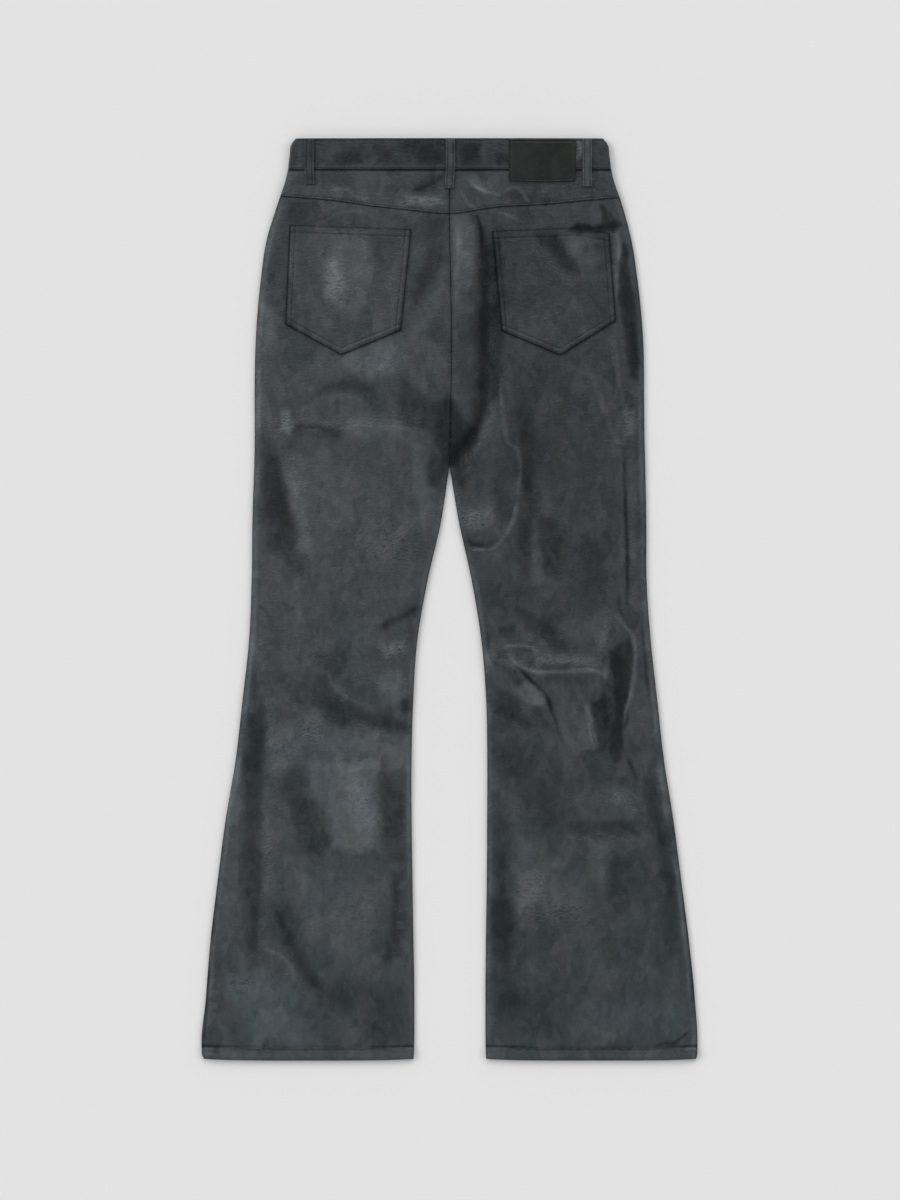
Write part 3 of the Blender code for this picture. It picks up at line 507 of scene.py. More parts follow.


# patches of rubbing, with painted highlights, reflections and painted shade where the leather lies at other angles
RUB_SHEEN_AND_SHADE: tuple[Cloud | Facet, ...] = (
    Cloud(-150, 560, 150, 640, 0.16),
    # left yoke and pocket
    Facet(1.0, 0.0, 5, ((-58, 1098), (-12, 1098), (-8, 1088), (-30, 1085), (-56, 1088))),
    Facet(-0.5, 0.0, 5, ((-60, 1108), (-42, 1100), (-18, 1110), (-4, 1128), (-20, 1128), (-40, 1115))),
    Facet(-0.5, 0.4, 5, ((-206, 1093), (-168, 1090), (-160, 1070), (-165, 1062), (-207, 1062))),
    Facet(-0.4, 0.5, 10, ((-232, 1010), (-222, 1040), (-210, 1056), (-208, 960), (-224, 950), (-236, 970))),
    Facet(0.55, -0.3, 10, ((-236, 962), (-226, 956), (-218, 930), (-226, 900), (-238, 900))),
    Facet(0.55, 0.3, 11, ((-152, 1045), (-105, 1047), (-98, 1005), (-104, 960), (-130, 945), (-155, 965))),
    Facet(-0.5, 0.5, 8, ((-98, 1048), (-62, 1050), (-64, 1020), (-80, 1002), (-96, 1012))),
    Facet(0.6, 0.0, 6, ((-160, 1014), (-142, 1016), (-134, 985), (-150, 962), (-160, 968))),
    Facet(-0.8, 0.2, 10, ((-22, 1070), (-5, 1068), (-12, 1020), (-30, 975), (-46, 958), (-48, 975),
          (-34, 1010), (-26, 1040))),
    Facet(0.3, 0.0, 10, ((-60, 905), (-44, 935), (-20, 985), (-5, 1010), (-5, 975), (-24, 930),
          (-45, 890))),
    Facet(0.5, -0.4, 11, ((-130, 903), (-100, 912), (-62, 916), (-55, 880), (-80, 868), (-120, 878))),
    # right yoke and pocket
    Facet(0.5, 0.0, 4, ((16, 1124), (34, 1126), (56, 1106), (44, 1100), (30, 1108), (22, 1110))),
    Facet(-0.5, 0.1, 4, ((62, 1094), (74, 1104), (92, 1102), (112, 1096), (140, 1099), (138, 1090),
          (90, 1086))),
    Facet(0.65, -0.1, 8, ((5, 1072), (25, 1074), (34, 1050), (31, 1010), (27, 980), (12, 985), (5, 1010))),
    Facet(-0.6, 0.0, 5, ((84, 1083), (102, 1082), (113, 1060), (96, 1059))),
    # painted shadow in the right pocket's open mouth, and painted shade in the notch above it
    Facet(-2.6, 0.0, 3.5, ((150, 1053), (163, 1064), (180, 1059), (196, 1061), (212, 1066), (218, 1062),
          (208, 1054), (190, 1052))),
    Facet(-1.6, 0.0, 3, ((192, 1088), (198, 1084), (204, 1064), (194, 1061))),
    Facet(-0.95, 0.0, 7, ((106, 1050), (136, 1050), (150, 1030), (166, 1001), (146, 1003), (128, 1028))),
    Facet(-0.6, 0.1, 6, ((182, 1050), (204, 1048), (206, 1010), (196, 1000), (186, 1004), (199, 1020),
          (190, 1038))),
    Facet(0.45, 0.4, 7, ((140, 1047), (180, 1048), (188, 1020), (180, 1006), (164, 1010), (152, 1030))),
    Facet(0.5, -0.1, 6, ((207, 1060), (216, 1060), (219, 1030), (215, 1000), (212, 950), (208, 985))),
    # painted shade in the fold between the right pocket and the outer edge
    Facet(-2.0, -0.1, 4.5, ((220, 1036), (228, 1022), (227, 1000), (233, 968), (238, 940), (242, 900),
          (240, 866), (230, 870), (226, 900), (221, 935), (215, 965), (216, 1000))),
    # the deep fold and the crotch, in painted shade
    Facet(-0.9, 0.2, 10, ((40, 1056), (54, 1040), (56, 1000), (57, 940), (56, 880), (50, 822), (40, 800),
          (24, 776), (6, 764), (8, 780), (26, 800), (33, 830), (33, 880), (31, 940), (36, 1000),
          (38, 1040))),
    Facet(-1.5, -0.1, 8, ((-20, 834), (0, 842), (12, 830), (22, 800), (30, 785), (18, 768), (4, 757),
          (-4, 757), (-12, 775), (-20, 800))),
    Facet(-0.8, 0.1, 6, ((-22, 772), (-6, 764), (-3, 745), (-12, 728), (-26, 730), (-28, 752))),
    Facet(-0.45, 0.1, 13, ((3, 752), (30, 780), (40, 760), (30, 720), (18, 700), (10, 715))),
    # left seat and thigh
    Facet(-0.6, 0.2, 6, ((-172, 846), (-150, 862), (-115, 864), (-95, 852), (-92, 840), (-125, 850),
          (-150, 850))),
    Facet(-0.8, 0.3, 6, ((-57, 862), (-36, 852), (-26, 822), (-24, 803), (-60, 806), (-68, 822),
          (-62, 845))),
    Facet(0.35, 0.0, 8, ((-132, 806), (-30, 800), (-34, 780), (-100, 784), (-130, 790))),
    Facet(0.8, -0.4, 5, ((-214, 826), (-204, 828), (-198, 806), (-206, 797), (-214, 800))),
    Facet(-0.45, 0.3, 5, ((-198, 808), (-150, 804), (-135, 797), (-138, 788), (-168, 790), (-198, 797))),
    Facet(-0.55, 0.2, 8, ((-238, 790), (-220, 786), (-213, 735), (-200, 692), (-196, 650), (-184, 640),
          (-184, 612), (-200, 612), (-212, 640), (-232, 655), (-238, 700))),
    Facet(-0.35, -0.1, 8, ((-230, 745), (-216, 742), (-204, 690), (-202, 662), (-215, 665), (-228, 700))),
    Facet(0.2, 0.4, 14, ((-200, 785), (-165, 785), (-140, 740), (-120, 690), (-150, 640), (-190, 640),
          (-205, 700))),
    Facet(0.4, 0.1, 10, ((-45, 775), (-28, 788), (-24, 720), (-36, 690), (-52, 720))),
    Facet(0.35, 0.0, 10, ((-70, 698), (-20, 702), (-28, 662), (-62, 668))),
    # right thigh
    Cloud(150, 800, 120, 330, -0.22, 0.3),
    Facet(-0.6, 0.0, 8, ((70, 752), (78, 742), (72, 722), (70, 702), (78, 690), (68, 678), (58, 700),
          (54, 728), (60, 745))),
    Facet(0.45, 0.0, 8, ((16, 702), (50, 703), (58, 688), (45, 673), (22, 673))),
    Facet(-0.6, 0.4, 8, ((86, 862), (100, 850), (108, 800), (105, 760), (110, 720), (104, 700),
          (92, 715), (92, 760), (90, 780), (82, 800), (80, 840))),
    Facet(-0.5, 0.3, 6, ((90, 690), (104, 690), (103, 640), (98, 615), (88, 630), (86, 660))),
    Facet(-0.65, 0.4, 6, ((112, 690), (128, 690), (145, 660), (148, 625), (135, 610), (122, 618),
          (117, 650))),
    Facet(-0.5, 0.3, 8, ((158, 650), (175, 660), (195, 640), (200, 605), (170, 600), (160, 620))),
    Facet(0.55, 0.1, 6, ((101, 665), (108, 668), (116, 640), (118, 605), (105, 605), (103, 630))),
    Facet(0.35, -0.2, 8, ((160, 880), (175, 880), (196, 840), (199, 815), (188, 812), (172, 835),
          (160, 850))),
    Facet(0.6, 0.0, 5, ((222, 828), (236, 826), (236, 792), (222, 792))),
    Facet(-0.2, 0.3, 13, ((110, 850), (150, 850), (152, 780), (130, 730), (112, 760))),
    # left knee
    Facet(-0.45, 0.2, 5, ((-178, 516), (-132, 520), (-130, 505), (-138, 489), (-152, 495), (-176, 502))),
    Facet(-0.68, 0.0, 6, ((-172, 492), (-160, 488), (-150, 475), (-142, 462), (-125, 450), (-100, 443),
          (-75, 437), (-50, 424), (-50, 416), (-75, 418), (-110, 424), (-140, 424), (-160, 436),
          (-168, 452), (-172, 470))),
    Facet(-0.35, -0.1, 8, ((-228, 512), (-212, 496), (-178, 494), (-172, 452), (-185, 445), (-215, 470))),
    Facet(0.35, -0.2, 6, ((-85, 495), (-60, 498), (-56, 470), (-62, 452), (-85, 450), (-90, 470))),
    Facet(0.42, 0.1, 7, ((-200, 430), (-170, 440), (-140, 421), (-50, 411), (-50, 370), (-225, 370),
          (-234, 400), (-215, 420))),
    Cloud(-56, 451, 6, 9, -1.4),
    Cloud(-68, 524, 14, 9, 0.6),
    Facet(-0.8, -0.2, 7, ((-247, 488), (-240, 455), (-232, 425), (-237, 400), (-240, 370), (-260, 370),
          (-257, 400), (-252, 440))),
    Cloud(-176, 583, 62, 44, 0.1, 0.3),
    # left flare
    Facet(-0.6, 0.1, 9, ((-262, 378), (-242, 378), (-240, 330), (-245, 300), (-240, 262), (-265, 262),
          (-262, 300))),
    Facet(-0.6, -0.4, 9, ((-264, 262), (-240, 262), (-236, 200), (-240, 120), (-254, 120), (-260, 180))),
    Facet(0.3, 0.1, 8, ((-284, 370), (-264, 378), (-264, 300), (-270, 200), (-288, 205), (-284, 280))),
    Facet(-0.5, -0.1, 8, ((-205, 345), (-170, 330), (-150, 275), (-165, 262), (-195, 262))),
    Facet(-0.35, 0.1, 6, ((-214, 345), (-196, 374), (-182, 345), (-190, 318), (-204, 320))),
    Facet(0.66, 0.2, 9, ((-172, 374), (-92, 378), (-89, 300), (-92, 268), (-112, 262), (-148, 274),
          (-150, 300), (-178, 345))),
    Facet(0.35, 0.1, 6, ((-136, 366), (-112, 372), (-100, 338), (-98, 300), (-118, 286), (-126, 320))),
    Facet(-0.5, 0.2, 7, ((-86, 384), (-70, 352), (-56, 330), (-58, 255), (-80, 250), (-86, 300))),
    Facet(-0.7, -0.2, 7, ((-73, 240), (-62, 238), (-58, 180), (-62, 132), (-80, 124), (-76, 160),
          (-71, 200))),
    Facet(-0.5, 0.0, 8, ((-225, 202), (-208, 190), (-198, 155), (-180, 125), (-165, 100), (-175, 90),
          (-195, 113), (-215, 150))),
    Facet(0.45, -0.7, 11, ((-280, 108), (-240, 116), (-205, 95), (-190, 60), (-165, 22), (-255, 20),
          (-258, 60), (-282, 80))),
    Facet(-0.45, -0.6, 13, ((-135, 102), (-60, 92), (-60, 20), (-110, 20), (-120, 60), (-150, 70))),
    Facet(-0.35, 0.2, 10, ((-172, 98), (-135, 98), (-128, 60), (-150, 45), (-168, 70))),
    Facet(0.25, 0.1, 14, ((-195, 240), (-120, 230), (-90, 200), (-110, 130), (-165, 130), (-190, 170))),
    Cloud(-180, 190, 140, 240, 0.0, -0.4),
    # right knee
    Facet(-0.35, 0.0, 8, ((36, 612), (60, 602), (100, 600), (108, 570), (95, 562), (75, 570), (60, 575),
          (45, 590))),
    Facet(-0.75, 0.1, 6, ((85, 575), (100, 568), (130, 552), (143, 545), (146, 526), (130, 520),
          (118, 535), (100, 550))),
    Facet(-0.6, 0.0, 5, ((46, 530), (48, 541), (62, 550), (86, 557), (80, 545), (62, 536))),
    Facet(-0.6, -0.2, 5, ((60, 520), (70, 518), (92, 490), (98, 482), (85, 475), (72, 490), (62, 505))),
    Facet(0.2, 0.4, 6, ((98, 490), (118, 490), (140, 482), (165, 460), (175, 445), (185, 415),
          (190, 398), (175, 390), (155, 388), (146, 410), (132, 440), (125, 460))),
    Facet(0.6, -0.2, 5, ((86, 470), (97, 480), (112, 478), (124, 462), (122, 452), (105, 450), (90, 458))),
    Facet(-0.6, 0.0, 6, ((50, 475), (60, 472), (85, 465), (92, 455), (120, 448), (128, 440), (138, 415),
          (120, 420), (100, 425), (75, 440), (58, 445))),
    Facet(-2.2, 0.0, 4, ((202, 520), (215, 528), (228, 536), (232, 520), (228, 480), (225, 445),
          (228, 430), (218, 420), (218, 385), (210, 378), (203, 395), (205, 430), (196, 430), (188, 440),
          (182, 452), (195, 465), (202, 490))),
    Facet(-1.3, -0.1, 4, ((180, 456), (190, 440), (204, 425), (198, 395), (190, 392), (184, 410),
          (178, 438))),
    Facet(0.3, 0.1, 8, ((146, 560), (200, 575), (202, 530), (150, 530))),
    Cloud(74, 388, 22, 14, -0.2, 0.2),
    # right flare
    Facet(-0.45, 0.3, 11, ((75, 380), (130, 380), (150, 345), (165, 312), (140, 295), (100, 300),
          (78, 340))),
    Facet(-0.85, -0.1, 5, ((150, 301), (170, 305), (235, 301), (241, 289), (225, 283), (165, 285),
          (150, 290))),
    Facet(0.4, 0.0, 6, ((200, 345), (222, 348), (245, 335), (240, 312), (215, 306), (200, 312))),
    Facet(-0.8, -0.4, 8, ((256, 380), (266, 350), (270, 300), (284, 232), (270, 235), (258, 290),
          (248, 350))),
    Facet(-0.6, -0.3, 8, ((272, 232), (286, 232), (292, 140), (280, 128), (274, 170))),
    Facet(-0.5, 0.2, 8, ((56, 340), (74, 330), (72, 290), (58, 290))),
    Facet(-0.4, -0.3, 8, ((60, 262), (76, 262), (76, 205), (58, 208))),
    Facet(-1.1, -0.1, 7, ((52, 205), (80, 205), (82, 150), (75, 120), (60, 126), (52, 140))),
    Facet(-0.6, -0.4, 10, ((54, 122), (84, 118), (90, 70), (62, 60))),
    Facet(-0.35, -0.4, 13, ((62, 82), (130, 88), (140, 40), (70, 22))),
    Facet(0.5, 0.0, 11, ((86, 282), (118, 278), (117, 200), (90, 196))),
    Facet(0.25, 0.1, 10, ((124, 252), (168, 256), (168, 200), (126, 190))),
    Facet(0.4, 0.0, 8, ((178, 280), (200, 272), (200, 232), (178, 228))),
    Facet(-0.5, -0.3, 8, ((205, 255), (232, 262), (240, 230), (225, 190), (208, 180), (200, 210))),
    Facet(0.25, -0.5, 13, ((170, 80), (300, 70), (296, 30), (180, 24))),
    Cloud(185, 190, 150, 240, 0.0, -0.4),
)
# where the leather is crinkled: its wrinkles are deeper there and their crests get painted glints
CRINKLE_AND_GLINT_PATCHES = (
    Cloud(-148, 990, 14, 28, 1.0),
    Cloud(-128, 1052, 26, 6, 0.8),
    Cloud(-36, 1092, 26, 6, 0.8),
    Cloud(-212, 815, 8, 16, 1.0),
    Cloud(-68, 524, 14, 10, 1.2),
    Cloud(-176, 416, 14, 16, 1.1),
    Cloud(-112, 328, 18, 34, 0.65),
    Cloud(-262, 96, 16, 10, 0.9),
    Cloud(-120, 190, 40, 30, 0.4),
    Cloud(-70, 655, 30, 24, 0.7),
    Cloud(36, 688, 18, 13, 1.1),
    Cloud(228, 810, 9, 20, 1.0),
    Cloud(224, 334, 14, 10, 0.9),
    Cloud(140, 185, 30, 14, 0.8),
    Cloud(104, 222, 18, 30, 0.7),
    Cloud(-215, 390, 20, 18, 0.6),
    Cloud(112, 512, 20, 8, 0.6),
)
# the waistband's darker patches, and a painted highlight beside the right back loop
BAND_CLOUDS: tuple[Cloud | Facet, ...] = (
    Facet(-0.87, 0.2, 5, ((-150, 1150), (-112, 1152), (-110, 1139), (-146, 1139))),
    Facet(-0.87, 0.1, 5, ((-95, 1158), (-72, 1156), (-68, 1142), (-92, 1138))),
    Facet(-0.87, 0.0, 6, ((-62, 1169), (-10, 1169), (-8, 1136), (-40, 1140), (-55, 1155))),
    Facet(-0.87, -0.2, 6, ((14, 1164), (40, 1162), (38, 1142), (18, 1138))),
    Facet(-0.87, 0.0, 5, ((58, 1152), (75, 1150), (75, 1138), (60, 1140))),
    Facet(1.3, 0.2, 5, ((161, 1167), (172, 1167), (172, 1150), (162, 1148))),
)


CREASE_TONE = 0.2       # how much lighter a ridge, and darker a trough, is painted for each mm of a crease's height: worn and painted highlight on ridges, painted shade in troughs
TROUGH_DEPTH = 0.5      # troughs show by their painted shade more than by their depth
DARKEST = 1.5           # the tone that overlapping dark patches close in on
RAGGED = ((Waves(0.65, 24.0, 21), Waves(0.45, 8.0, 22)), (Waves(0.65, 24.0, 23), Waves(0.45, 8.0, 24)))


@dataclass(frozen=True)
class Drape:
    """The heights of the leather layers at any point, in mm above what the garment lies on."""

    length: float = 1171.0
    gap: float = 0.3
    cloth: float = 1.3
    hem_width: float = 15.0
    hem_extra: float = 1.1
    hem_bow: float = 2.0
    crotch: float = 756.0
    seam_bow: float = 2.4
    seam_bow_length: float = 300.0
    band_seam: float = 1130.6
    band_thick: float = 2.2
    band_half: float = 203.0
    waist_half: float = 206.0
    front_lift: float = 2.0
    front_dip: float = 18.0
    raised: float = 0.7
    dent_waves: tuple[Waves, ...] = (Waves(0.45, 46.0, 3, 0.8), Waves(0.26, 19.0, 5), Waves(0.09, 8.0, 8))
    band_waves: tuple[Waves, ...] = (Waves(0.35, 34.0, 11), Waves(0.15, 12.0, 12))

    def section(self, column: str, up: Array) -> Array:
        """One of the cross-sections' values at the given heights."""
        return through_points(SECTION_HEIGHTS, [getattr(row, column) for row in SECTIONS], up)

    def outer_edge(self, side: int, up: Array) -> Array:
        """The trousers' own outline on the left (-1) or right (1)."""
        return self.section("left_out" if side < 0 else "right_out", up)

    def centre_seam(self, up: Array) -> Array:
        """The centre back seam, which bows a little to the right over the seat."""
        rise = np.clip((up - self.crotch) / self.seam_bow_length, 0.0, 1.0)
        return self.seam_bow * np.sin(np.pi * rise)

    def inner_edge(self, side: int, up: Array) -> Array:
        """A panel's own inner edge: the inseam up to the crotch and the centre seam above it."""
        inseam = self.section("left_in" if side < 0 else "right_in", up)
        return np.where(up < self.crotch, inseam, self.centre_seam(up)) + side * self.gap / 2

    def yoke_seam(self, across: Array) -> Array:
        """The height of the seam between back panels and yokes, a shallow V."""
        return through_points([p[0] for p in YOKE_SEAM], [p[1] for p in YOKE_SEAM], across)

    def front_waist(self, across: Array) -> Array:
        """The height of the front waist seam, lowest at the centre."""
        return self.band_seam - self.front_dip * (1.0 - (across / self.waist_half) ** 2)

    def hem(self, up: Array) -> Array:
        """The thickness that the turned-up hem adds."""
        return self.hem_extra * smooth_step(self.hem_width + 3.0, self.hem_width - 1.0, up)

    def front_underside(self, up: Array) -> Array:
        """The front layer lies flat, but over the front loops and button near the waist."""
        return self.front_lift * smooth_step(1050.0, 1100.0, up)

    def front_top(self, up: Array) -> Array:
        """The upper side of the front layer."""
        return self.front_underside(up) + self.cloth + self.hem(up)

    def creases(self, across: Array, up: Array) -> tuple[Array, Array]:
        """All fine creases together.

        Args:
            across: The points' places across, in mm.
            up: Their heights above the hem, in mm.

        Returns:
            The creases' relief in mm, and their painted tone: worn and painted lighter on ridges, painted shade in
            troughs.
        """
        relief = np.zeros(across.shape)
        tone = np.zeros(across.shape)
        for crease in CREASES:
            shape = crease.shape(across, up)
            relief += shape * crease.height * (1.0 if crease.height > 0.0 else TROUGH_DEPTH)
            # ridges get a painted highlight, troughs painted shade, plus the line's own painted highlight or shade
            tone += shape * (CREASE_TONE * crease.height + crease.paint)
        return relief, tone

    def dents(self, across: Array, up: Array) -> Array:
        """The soft unevenness of worn leather."""
        return sum(waves.at(across, up) for waves in self.dent_waves)

    def back_underside(self, across: Array, up: Array, creased: Array) -> Array:
        """The underside of the back layer, with its folds, the given creases and its edges' roll."""
        left = across < self.centre_seam(up)
        to_outer = np.where(left, across - self.outer_edge(-1, up), self.outer_edge(1, up) - across)
        to_inner = np.where(left, self.inner_edge(-1, up) - across, across - self.inner_edge(1, up))
        roll = self.section("roll", up)
        open_leg = smooth_step(self.crotch + 90.0, self.crotch - 20.0, up)
        rounded = crown(to_outer, roll) * (1.0 - open_leg * (1.0 - crown(np.abs(to_inner), roll)))
        folds = sum(fold.relief(across, up) for fold in FOLDS)
        lofted = (self.section("loft", up) + folds + creased) * rounded
        return self.front_top(up) + self.gap + soft_floor(lofted)

    def back_top(self, across: Array, up: Array) -> Array:
        """The upper side of the back layer without its seams, raised to clear its dents."""
        underside = self.back_underside(across, up, self.creases(across, up)[0])
        return underside + self.cloth + self.hem(up) + self.raised + self.dents(across, up)

    def band_underside(self, across: Array) -> Array:
        """The back waistband's underside: over the lapped ends in the middle."""
        rise = 1.0 - np.clip(np.abs(across) / self.band_half, 0.0, 1.0) ** 3
        return 2.0 * self.band_thick + self.gap + (self.band_thick + self.gap) * rise

    def band_top(self, across: Array, up: Array) -> Array:
        """The back waistband's upper side, softly wavy."""
        waves = sum(waves.at(across, up) for waves in self.band_waves)
        return self.band_underside(across) + self.band_thick + waves


DRAPE = Drape()


def painted(across: Array, up: Array, clouds: Sequence[Cloud | Facet]) -> tuple[Array, Array]:
    """Adds up the patches of the finish, with ragged edges.

    Args:
        across: The points' places across, in mm.
        up: Their heights above the hem, in mm.
        clouds: The patches.

    Returns:
        The tone and the warmth at each point.
    """
    ragged = tuple(wide.at(across, up) + fine.at(across, up) for wide, fine in RAGGED)
    tone = np.zeros(across.shape)
    warmth = np.zeros(across.shape)
    for cloud in clouds:
        cover = cloud.cover(across, up, ragged)
        tone += cloud.tone * cover
        warmth += cloud.warmth * cover
    dark = np.minimum(tone, 0.0)
    return np.maximum(tone, 0.0) + DARKEST * (np.exp(dark / DARKEST) - 1.0), warmth


# ---- materials


Socket = bpy.types.NodeSocket


class NodeSheet:
    """A node tree that is written line by line."""

    def __init__(self, tree: bpy.types.NodeTree) -> None:
        """Starts on a tree."""
        self.tree = tree

    def put(self, node: bpy.types.Node, inputs: dict) -> None:
        """Gives a node its values, or links sockets to its inputs, by name or number."""
        for key, value in inputs.items():
            if isinstance(value, Socket):
                self.tree.links.new(value, node.inputs[key])
            else:
                node.inputs[key].default_value = value

    def add(self, kind: str, inputs: dict | None = None, **settings: object) -> bpy.types.Node:
        """Adds a node.

        Args:
            kind: The node's type.
            inputs: Values or sockets for its inputs, by name or number.
            **settings: The node's own properties.

        Returns:
            The node.
        """
        node = self.tree.nodes.new(kind)
        for name, value in settings.items():
            setattr(node, name, value)
        self.put(node, inputs or {})
        return node

    def noise(self, vector: Socket, scale: float, detail: float = 3.0, distortion: float = 0.0) -> Socket:
        """A noise texture's value."""
        inputs = {"Vector": vector, "Scale": scale, "Detail": detail, "Distortion": distortion}
        return self.add("ShaderNodeTexNoise", inputs).outputs["Fac"]

    def stretched(self, vector: Socket, scale: tuple[float, float, float]) -> Socket:
        """A place's coordinates, each times its own scale."""
        return self.add("ShaderNodeMapping", {"Vector": vector, "Scale": scale}).outputs[0]

    def math(self, operation: str, first: object, second: object, clamp: bool = False) -> Socket:
        """The result of an operation on two numbers or sockets."""
        return self.add("ShaderNodeMath", {0: first, 1: second}, operation=operation, use_clamp=clamp).outputs[0]

    def weighted(self, first: object, second: Socket, weight: object) -> Socket:
        """The first and the second times its weight, added up."""
        return self.math("ADD", first, self.math("MULTIPLY", second, weight))

    def spread(self, value: Socket, low: float, high: float, to_low: float, to_high: float) -> Socket:
        """Maps a range of a value onto another range, and clamps it there."""
        inputs = {"Value": value, "From Min": low, "From Max": high, "To Min": to_low, "To Max": to_high}
        return self.add("ShaderNodeMapRange", inputs).outputs["Result"]

    def mix(self, share: object, first: Colour, second: Colour) -> Socket:
        """A mix of two colours."""
        inputs = {"Factor": share, 6: (*first, 1.0), 7: (*second, 1.0)}
        return self.add("ShaderNodeMix", inputs, data_type="RGBA").outputs[2]


class SharedGroup:
    """A node group that is made once, with Vector in and masks from 0 to 1 out."""

    name = ""
    outputs: tuple[str, ...] = ()

    @classmethod
    def masks(cls, sheet: NodeSheet, place: Socket) -> dict[str, Socket]:
        """Each output's mask."""
        raise NotImplementedError

    @classmethod
    def used_in(cls, sheet: NodeSheet, place: Socket) -> bpy.types.bpy_prop_collection:
        """Puts the group into a tree and gives its outputs."""
        tree = bpy.data.node_groups.get(cls.name)
        if tree is None:
            tree = bpy.data.node_groups.new(cls.name, "ShaderNodeTree")
            tree.interface.new_socket("Vector", in_out="INPUT", socket_type="NodeSocketVector")
            for output in cls.outputs:
                tree.interface.new_socket(output, in_out="OUTPUT", socket_type="NodeSocketFloat")
            inside = NodeSheet(tree)
            given = inside.add("NodeGroupInput").outputs["Vector"]
            inside.add("NodeGroupOutput", cls.masks(inside, given))
        return sheet.add("ShaderNodeGroup", {"Vector": place}, node_tree=tree).outputs


class Mottle(SharedGroup):
    """The cloudy rubbing of an aniline finish on creased hide, drawn out along the leg, with the painted reflections
    of its creased facets.
    """

    name = "rubbed_mottle"
    outputs = ("Wide", "Middle", "Fine", "Facets", "Small facets")
    draw_out = (1.0, 0.6, 1.0)
    noises = {"Wide": (11.0, 3.0, 0.4), "Middle": (38.0, 4.0, 0.5), "Fine": (170.0, 3.0, 0.3)}
    noise_range = (0.28, 0.72)
    facet_scales = {"Facets": 44.0, "Small facets": 130.0}
    bend_scale = 42.0
    bend = (0.014, 0.014, 0.0)

    @classmethod
    def masks(cls, sheet: NodeSheet, place: Socket) -> dict[str, Socket]:
        """Noise of three sizes, and in two sizes the facets of creased leather, which carry their painted
        reflections.
        """
        drawn = sheet.stretched(place, cls.draw_out)
        made = {}
        for output, (scale, detail, distortion) in cls.noises.items():
            noise = sheet.noise(drawn, scale, detail, distortion)
            made[output] = sheet.spread(noise, *cls.noise_range, 0.0, 1.0)
        bends = {"Vector": drawn, "Scale": cls.bend_scale, "Detail": 2.0}
        bend = sheet.add("ShaderNodeTexNoise", bends).outputs["Color"]
        bent = sheet.add("ShaderNodeVectorMath", {0: bend, 1: cls.bend, 2: drawn},
                         operation="MULTIPLY_ADD").outputs[0]
        for output, scale in cls.facet_scales.items():
            cells = sheet.add("ShaderNodeTexVoronoi", {"Vector": bent, "Scale": scale, "Smoothness": 0.2},
                              voronoi_dimensions="2D", feature="SMOOTH_F1").outputs["Color"]
            made[output] = sheet.add("ShaderNodeSeparateColor", {0: cells}).outputs[0]
        return made


class Grain(SharedGroup):
    """The pebbled grain and fine wrinkles of leather."""

    name = "leather_grain"
    outputs = ("Pebbles", "Wrinkles")
    pebble_scale = 620.0
    pebble_edge = 0.25
    wrinkle_scale = 170.0
    wrinkle_run = (0.6, 1.3, 1.0)
    wrinkle_depth = 0.16

    @classmethod
    def masks(cls, sheet: NodeSheet, place: Socket) -> dict[str, Socket]:
        """Rounded cells, and the folds of a noise."""
        pebbles = {"Vector": place, "Scale": cls.pebble_scale, "Randomness": 0.9}
        cells = sheet.add("ShaderNodeTexVoronoi", pebbles, feature="DISTANCE_TO_EDGE").outputs["Distance"]
        ripple = sheet.noise(sheet.stretched(place, cls.wrinkle_run), cls.wrinkle_scale, 4.0, 0.4)
        ridges = sheet.math("ABSOLUTE", sheet.math("SUBTRACT", ripple, 0.5), 0.0)
        return {"Pebbles": sheet.spread(cells, 0.0, cls.pebble_edge, 0.0, 1.0),
                "Wrinkles": sheet.spread(ridges, 0.0, cls.wrinkle_depth, 0.0, 1.0)}


@dataclass(frozen=True)
class Finish:
    """What a piece is made of: a material's name, and the record's slot for it."""

    name: str
    slot: str

    def surface(self, sheet: NodeSheet, place: Socket) -> dict[str, object]:
        """The values and sockets for the shader's inputs, by name."""
        raise NotImplementedError

    def material(self) -> bpy.types.Material:
        """Makes the material once."""
        made = bpy.data.materials.get(self.name)
        if made is None:
            made = bpy.data.materials.new(self.name)
            made.use_nodes = True
            sheet = NodeSheet(made.node_tree)
            place = sheet.add("ShaderNodeTexCoord").outputs["Object"]
            sheet.put(made.node_tree.nodes["Principled BSDF"], self.surface(sheet, place))
        return made


